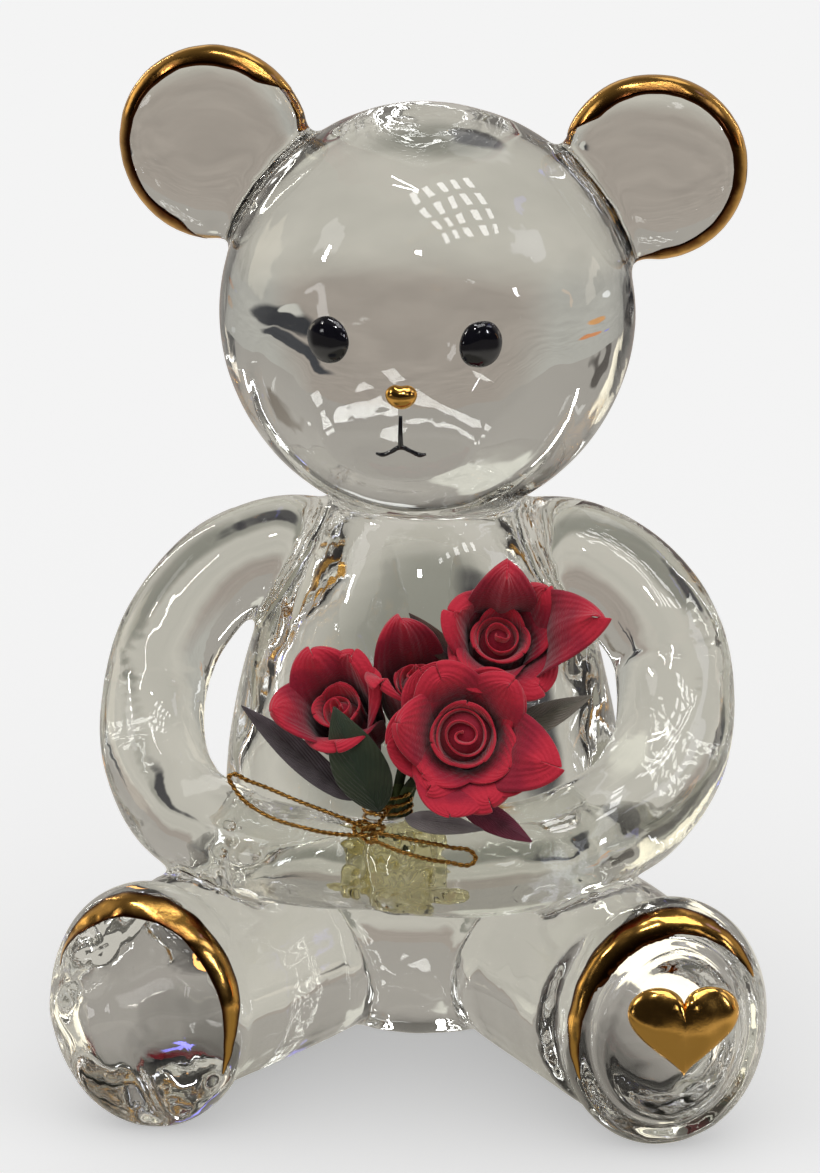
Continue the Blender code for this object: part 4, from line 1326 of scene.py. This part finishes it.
def makeLeafMaterial(name, deep, edge):      # waxed cloth leaf: fine veins off a midrib, slight sheen
    material, tree = newMaterial("waxed cloth leaf " + name.split("_")[1])
    where = addNode(tree, "ShaderNodeTexCoord")
    spot = addNode(tree, "ShaderNodeSeparateXYZ", {"Vector": where.outputs["UV"]})
    offCentre = addNode(tree, "ShaderNodeMath", {0: spot.outputs["X"], 1: 0.5}, operation="SUBTRACT")
    side = addNode(tree, "ShaderNodeMath", {0: offCentre.outputs[0]}, operation="ABSOLUTE")
    slant = addNode(tree, "ShaderNodeMath", {
        0: side.outputs[0], 1: -1.1, 2: spot.outputs["Y"],
    }, operation="MULTIPLY_ADD")
    ribs = addNode(tree, "ShaderNodeMath", {0: slant.outputs[0], 1: 62.0}, operation="MULTIPLY")
    ripple = addNode(tree, "ShaderNodeMath", {0: ribs.outputs[0]}, operation="SINE")
    midrib = addNode(tree, "ShaderNodeMapRange", {
        "Value": side.outputs[0], "From Min": 0.0, "From Max": 0.07, "To Min": 3.0, "To Max": 0.0,
    })
    relief = addNode(tree, "ShaderNodeMath", {0: ripple.outputs[0], 1: midrib.outputs[0]}, operation="ADD")
    bump = addNode(tree, "ShaderNodeBump", {
        "Height": relief.outputs[0], "Strength": 0.5, "Distance": 0.04 * mm,
    })
    blots = addNode(tree, "ShaderNodeTexNoise", {
        "Vector": where.outputs["Object"], "Scale": 1 / (1.4 * mm), "Detail": 3.0,
    })
    reach = addNode(tree, "ShaderNodeMath", {
        0: side.outputs[0], 1: 0.9, 2: blots.outputs["Fac"],
    }, operation="MULTIPLY_ADD")
    share = addNode(tree, "ShaderNodeMapRange", {
        "Value": reach.outputs[0], "From Min": 0.45, "From Max": 0.95,
    })
    tone = addNode(tree, "ShaderNodeMix", {
        "Factor": share.outputs[0], 6: fromHex(deep), 7: fromHex(edge),
    }, data_type="RGBA")
    leaf = addNode(tree, "ShaderNodeBsdfPrincipled", {
        "Base Color": tone.outputs[2], "Roughness": 0.55, "Sheen Weight": 0.15,
        "Normal": bump.outputs["Normal"],
    })
    closeMaterial(tree, leaf.outputs[0])
    return material


def makeLeaf(name, base, tip, width, faces, arch, deep, edge):
    base, tip = Vector(base) * mm, Vector(tip) * mm
    axis = tip - base
    across = axis.cross(Vector(faces)).normalized()
    up = across.cross(axis).normalized()

    def where(u, v):
        outline = math.sin(math.pi * min(1.0, 0.04 + 0.96 * v ** 0.8)) ** 0.85 if 0 < v < 1 else 0.02
        wave = 0.10 * mm * noise.noise(Vector((v * 5, u, width)))
        fold = -0.30 * abs(u) * outline * width / 2 * mm
        bow = arch * math.sin(math.pi * v) * mm
        return base + axis * v + across * (u * outline * width / 2 * mm) + up * (fold + bow + wave)

    shape = gridShape(8, 16, where)
    bmesh.ops.recalc_face_normals(shape, faces=shape.faces)
    made = addPiece("cloth_" + name, meshFrom(shape, name), [makeLeafMaterial(name, deep, edge)], [name])
    thicken(made, leaves["thickness"], 0.0, 1)


stems = {"radius": 0.33 * mm, "wrap": 0.55 * mm, "dye": "4c5a2c", "dyeDark": "2f3a1e"}


def makeStemMaterial():      # florist's paper tape wound on wire: crinkled, slightly waxy, finely lapped
    material, tree = newMaterial("wound floral tape")
    where = addNode(tree, "ShaderNodeTexCoord")
    laps = addNode(tree, "ShaderNodeTexWave", {
        "Vector": where.outputs["Object"], "Scale": 1 / (stems["wrap"] * 20), "Distortion": 1.2,
        "Detail": 1.0,
    }, bands_direction="Z", wave_profile="SAW")
    tone = addNode(tree, "ShaderNodeMix", {
        "Factor": laps.outputs["Fac"], 6: fromHex(stems["dyeDark"]), 7: fromHex(stems["dye"]),
    }, data_type="RGBA")
    bump = addNode(tree, "ShaderNodeBump", {
        "Height": laps.outputs["Fac"], "Strength": 0.6, "Distance": 0.08 * mm,
    })
    tape = addNode(tree, "ShaderNodeBsdfPrincipled", {
        "Base Color": tone.outputs[2], "Roughness": 0.62, "Normal": bump.outputs["Normal"],
    })
    closeMaterial(tree, tape.outputs[0])
    return material


def makeStem(rose, material):      # from under the rose, through the binding, down into the glue
    name = rose.replace("rose", "stem")
    low, high = (Vector(corner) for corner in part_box(name))
    top = middle(rose) + Vector(bouquet[rose]["shift"]) * mm
    top -= Vector(bouquet[rose]["faces"]).normalized() * 2.0 * mm
    binding = middle("bow_binding")
    centre = (low + high) / 2
    foot = Vector((binding.x + (centre.x - binding.x) * 0.25, binding.y + 1.5 * mm, low.z - 1.5 * mm))
    waist = Vector((binding.x + (top.x - binding.x) * 0.16, binding.y + (top.y - binding.y) * 0.16,
                    binding.z))
    route = [foot / mm, waist / mm, (waist * 0.45 + top * 0.55) / mm, top / mm]
    shape = rodShape(route, stems["radius"], [0.9, 1.0, 1.0, 1.5], sides=6, steps=10)
    addPiece("taped_" + name, meshFrom(shape, name), [material], [name])


# gold thread bow

thread = {
    "strand": 0.085 * mm, "pitch": 0.80 * mm, "binding": 1.50 * mm, "turns": 4,
    "knot": Vector((-1.8, -18.8, 18.8)),
    # the loops' routes, from the knot out and back
    "right": [(-1.8, -19.0, 18.9), (-3.4, -19.0, 19.6), (-6, -19.3, 20.7), (-9.2, -19.4, 22.0),
              (-10.4, -19.4, 22.3), (-10.2, -19.5, 21.7), (-8.8, -19.7, 20.3), (-5.4, -19.8, 19.1),
              (-3.2, -19.5, 18.7), (-1.8, -19.1, 18.6)],
    "left": [(-1.6, -19.1, 18.8), (0.6, -19.9, 18.7), (3.4, -20.4, 18.4), (4.8, -20.5, 18.1),
             (4.9, -20.6, 17.6), (3.2, -20.6, 17.5), (0.6, -20.3, 17.9), (-1.7, -19.3, 18.4)],
}


def makeThreadMaterial():      # gilt thread: metal foil wound on a core, so it glints in short bright dashes
    material, tree = newMaterial("gilt wound thread")
    where = addNode(tree, "ShaderNodeTexCoord")
    wraps = addNode(tree, "ShaderNodeTexNoise", {
        "Vector": where.outputs["Object"], "Scale": 1 / (0.28 * mm), "Detail": 2.0,
    })
    tone = addNode(tree, "ShaderNodeMix", {
        "Factor": wraps.outputs["Fac"], 6: fromHex("4e2b0e"), 7: fromHex("dba552"),
    }, data_type="RGBA")
    bump = addNode(tree, "ShaderNodeBump", {
        "Height": wraps.outputs["Fac"], "Strength": 0.6, "Distance": 0.05 * mm,
    })
    gilt = addNode(tree, "ShaderNodeBsdfPrincipled", {
        "Base Color": tone.outputs[2], "Metallic": 1.0, "Roughness": 0.27, "Normal": bump.outputs["Normal"],
    })
    closeMaterial(tree, gilt.outputs[0])
    return material


def twistedThread(points, strands=2):      # strands laid round each other along a route
    shapes = []
    for strand in range(strands):
        run, laid = 0.0, []
        for index, place in enumerate(points):
            ahead = points[min(index + 1, len(points) - 1)] - points[max(index - 1, 0)]
            if index:
                run += (place - points[index - 1]).length
            side = ahead.cross(Vector((0.13, 0.21, 1.0))).normalized()
            up = side.cross(ahead).normalized()
            turn = 2 * math.pi * (run / thread["pitch"] + strand / strands)
            laid.append(place + (side * math.cos(turn) + up * math.sin(turn)) * thread["strand"] * 0.92)
        curve = bpy.data.curves.new("strand", "CURVE")
        curve.dimensions = "3D"
        curve.bevel_depth = thread["strand"]
        curve.bevel_resolution = 3
        curve.use_fill_caps = True
        spline = curve.splines.new("POLY")
        spline.points.add(len(laid) - 1)
        for point, place in zip(spline.points, laid):
            point.co = (*place, 1.0)
        guide = bpy.data.objects.new("strand", curve)
        scene.collection.objects.link(guide)
        shapes.append(tubeShape(guide))
    return shapes


def makeBow(material):
    for side in ("right", "left"):
        name = "bow_loop_" + side
        route = smoothRoute([Vector(point) * mm for point in thread[side]])
        addPiece("thread_" + name, joinShapes(twistedThread(route), name), [material], [name])
    centre = middle("bow_binding") - Vector((0.4, 0, 0.9)) * mm
    steps = 28 * thread["turns"]
    coil = []
    for index in range(steps + 1):
        turn = 2 * math.pi * index / 28
        rise = (index / steps - 0.5) * thread["turns"] * 0.52 * mm
        out = thread["binding"]
        coil.append(centre + Vector((math.cos(turn) * out, math.sin(turn) * out, rise)))
    knot = []
    for index in range(73):      # a trefoil pulled tight
        turn = 2 * math.pi * index / 72
        knot.append(thread["knot"] * mm + Vector((
            (math.sin(turn) + 2 * math.sin(2 * turn)) * 0.34, math.sin(3 * turn) * 0.34 - 0.2,
            (math.cos(turn) - 2 * math.cos(2 * turn)) * 0.25)) * mm)
    link = smoothRoute([centre + Vector((0.2, -thread["binding"] / mm, 0.3)) * mm,
                        (centre + thread["knot"] * mm) / 2 + Vector((0, -1.0, -0.1)) * mm,
                        thread["knot"] * mm])
    shapes = twistedThread(coil) + twistedThread(knot) + twistedThread(link)
    mesh = joinShapes(shapes, "bow_binding")
    addPiece("thread_bow_binding", mesh, [material], ["bow_binding"])


# the drop of glue that holds the stems to the glass

glueDrop = {"radii": Vector((3.4, 1.4, 1.15)) * mm, "shift": Vector((-0.6, 0.0, -0.7)) * mm, "tint": "e9e3ba"}


def makeGlueMaterial():      # clear glue gone honey yellow: glossy, uneven in tint, a lumpy skin
    material, tree = newMaterial("aged clear glue")
    where = addNode(tree, "ShaderNodeTexCoord")
    cloud = addNode(tree, "ShaderNodeTexNoise", {
        "Vector": where.outputs["Object"], "Scale": 1 / (1.5 * mm), "Detail": 3.0,
    })
    tone = addNode(tree, "ShaderNodeMix", {
        "Factor": cloud.outputs["Fac"], 6: fromHex("d6cc92"), 7: fromHex("f3eed2"),
    }, data_type="RGBA")
    rough = addNode(tree, "ShaderNodeMapRange", {
        "Value": cloud.outputs["Fac"], "To Min": 0.01, "To Max": 0.09,
    })
    bump = addNode(tree, "ShaderNodeBump", {
        "Height": cloud.outputs["Fac"], "Strength": 0.3, "Distance": 0.2 * mm,
    })
    glue = addNode(tree, "ShaderNodeBsdfPrincipled", {
        "Base Color": tone.outputs[2], "Roughness": rough.outputs[0], "IOR": 1.42, "Transmission Weight": 1.0,
        "Normal": bump.outputs["Normal"],
    })
    closeClear(tree, glue, glueDrop["tint"])
    return material


def makeGlue(material):
    spot = middle("glue_drop") + glueDrop["shift"]
    shape = bmesh.new()
    bmesh.ops.create_icosphere(shape, subdivisions=6, radius=1.0)
    for corner in shape.verts:      # it slumped and set in lumps
        corner.co *= 1 + 0.55 * noise.noise(corner.co * 2.1) + 0.22 * noise.noise(corner.co * 5.3)
    bmesh.ops.scale(shape, vec=glueDrop["radii"], verts=shape.verts)
    bmesh.ops.translate(shape, vec=spot, verts=shape.verts)
    addPiece("set_glue_drop", meshFrom(shape, "glue_drop"), [material], ["glue_drop"])


goldMaterial = makeGoldLustre("brushed and fired gold lustre", True)
gildedSolid = makeGoldLustre("gold lustre over a raised drop", False)
enamelMaterial = makeEnamel()
makeLustres(goldMaterial)
makeEyes(enamelMaterial)
makeNose(gildedSolid)
makeMouth(enamelMaterial)
makeHeart(gildedSolid)
for side in sideSign:
    armsOnly.objects.link(bpy.data.objects["glass_arm_" + side])
offTheMuzzle.objects.link(bpy.data.objects["glass_muzzle"])
offTheMuzzle.collection_objects[1].light_linking.link_state = "EXCLUDE"
print("gold and enamel ready")

petalMaterial = makePetalMaterial()
for roseName in ("rose_front", "rose_top", "rose_side", "rose_bud"):
    makeRose(roseName, bouquet[roseName], petalMaterial)
stemMaterial = makeStemMaterial()
for roseName in ("rose_front", "rose_top", "rose_side", "rose_bud"):
    makeStem(roseName, stemMaterial)
for leafName in ("leaf_front", "leaf_long", "leaf_right", "leaf_lower", "leaf_grey", "leaf_tip"):
    makeLeaf(leafName, *leaves[leafName])
print("bouquet ready")

makeBow(makeThreadMaterial())
makeGlue(makeGlueMaterial())
print("bow and glue ready")
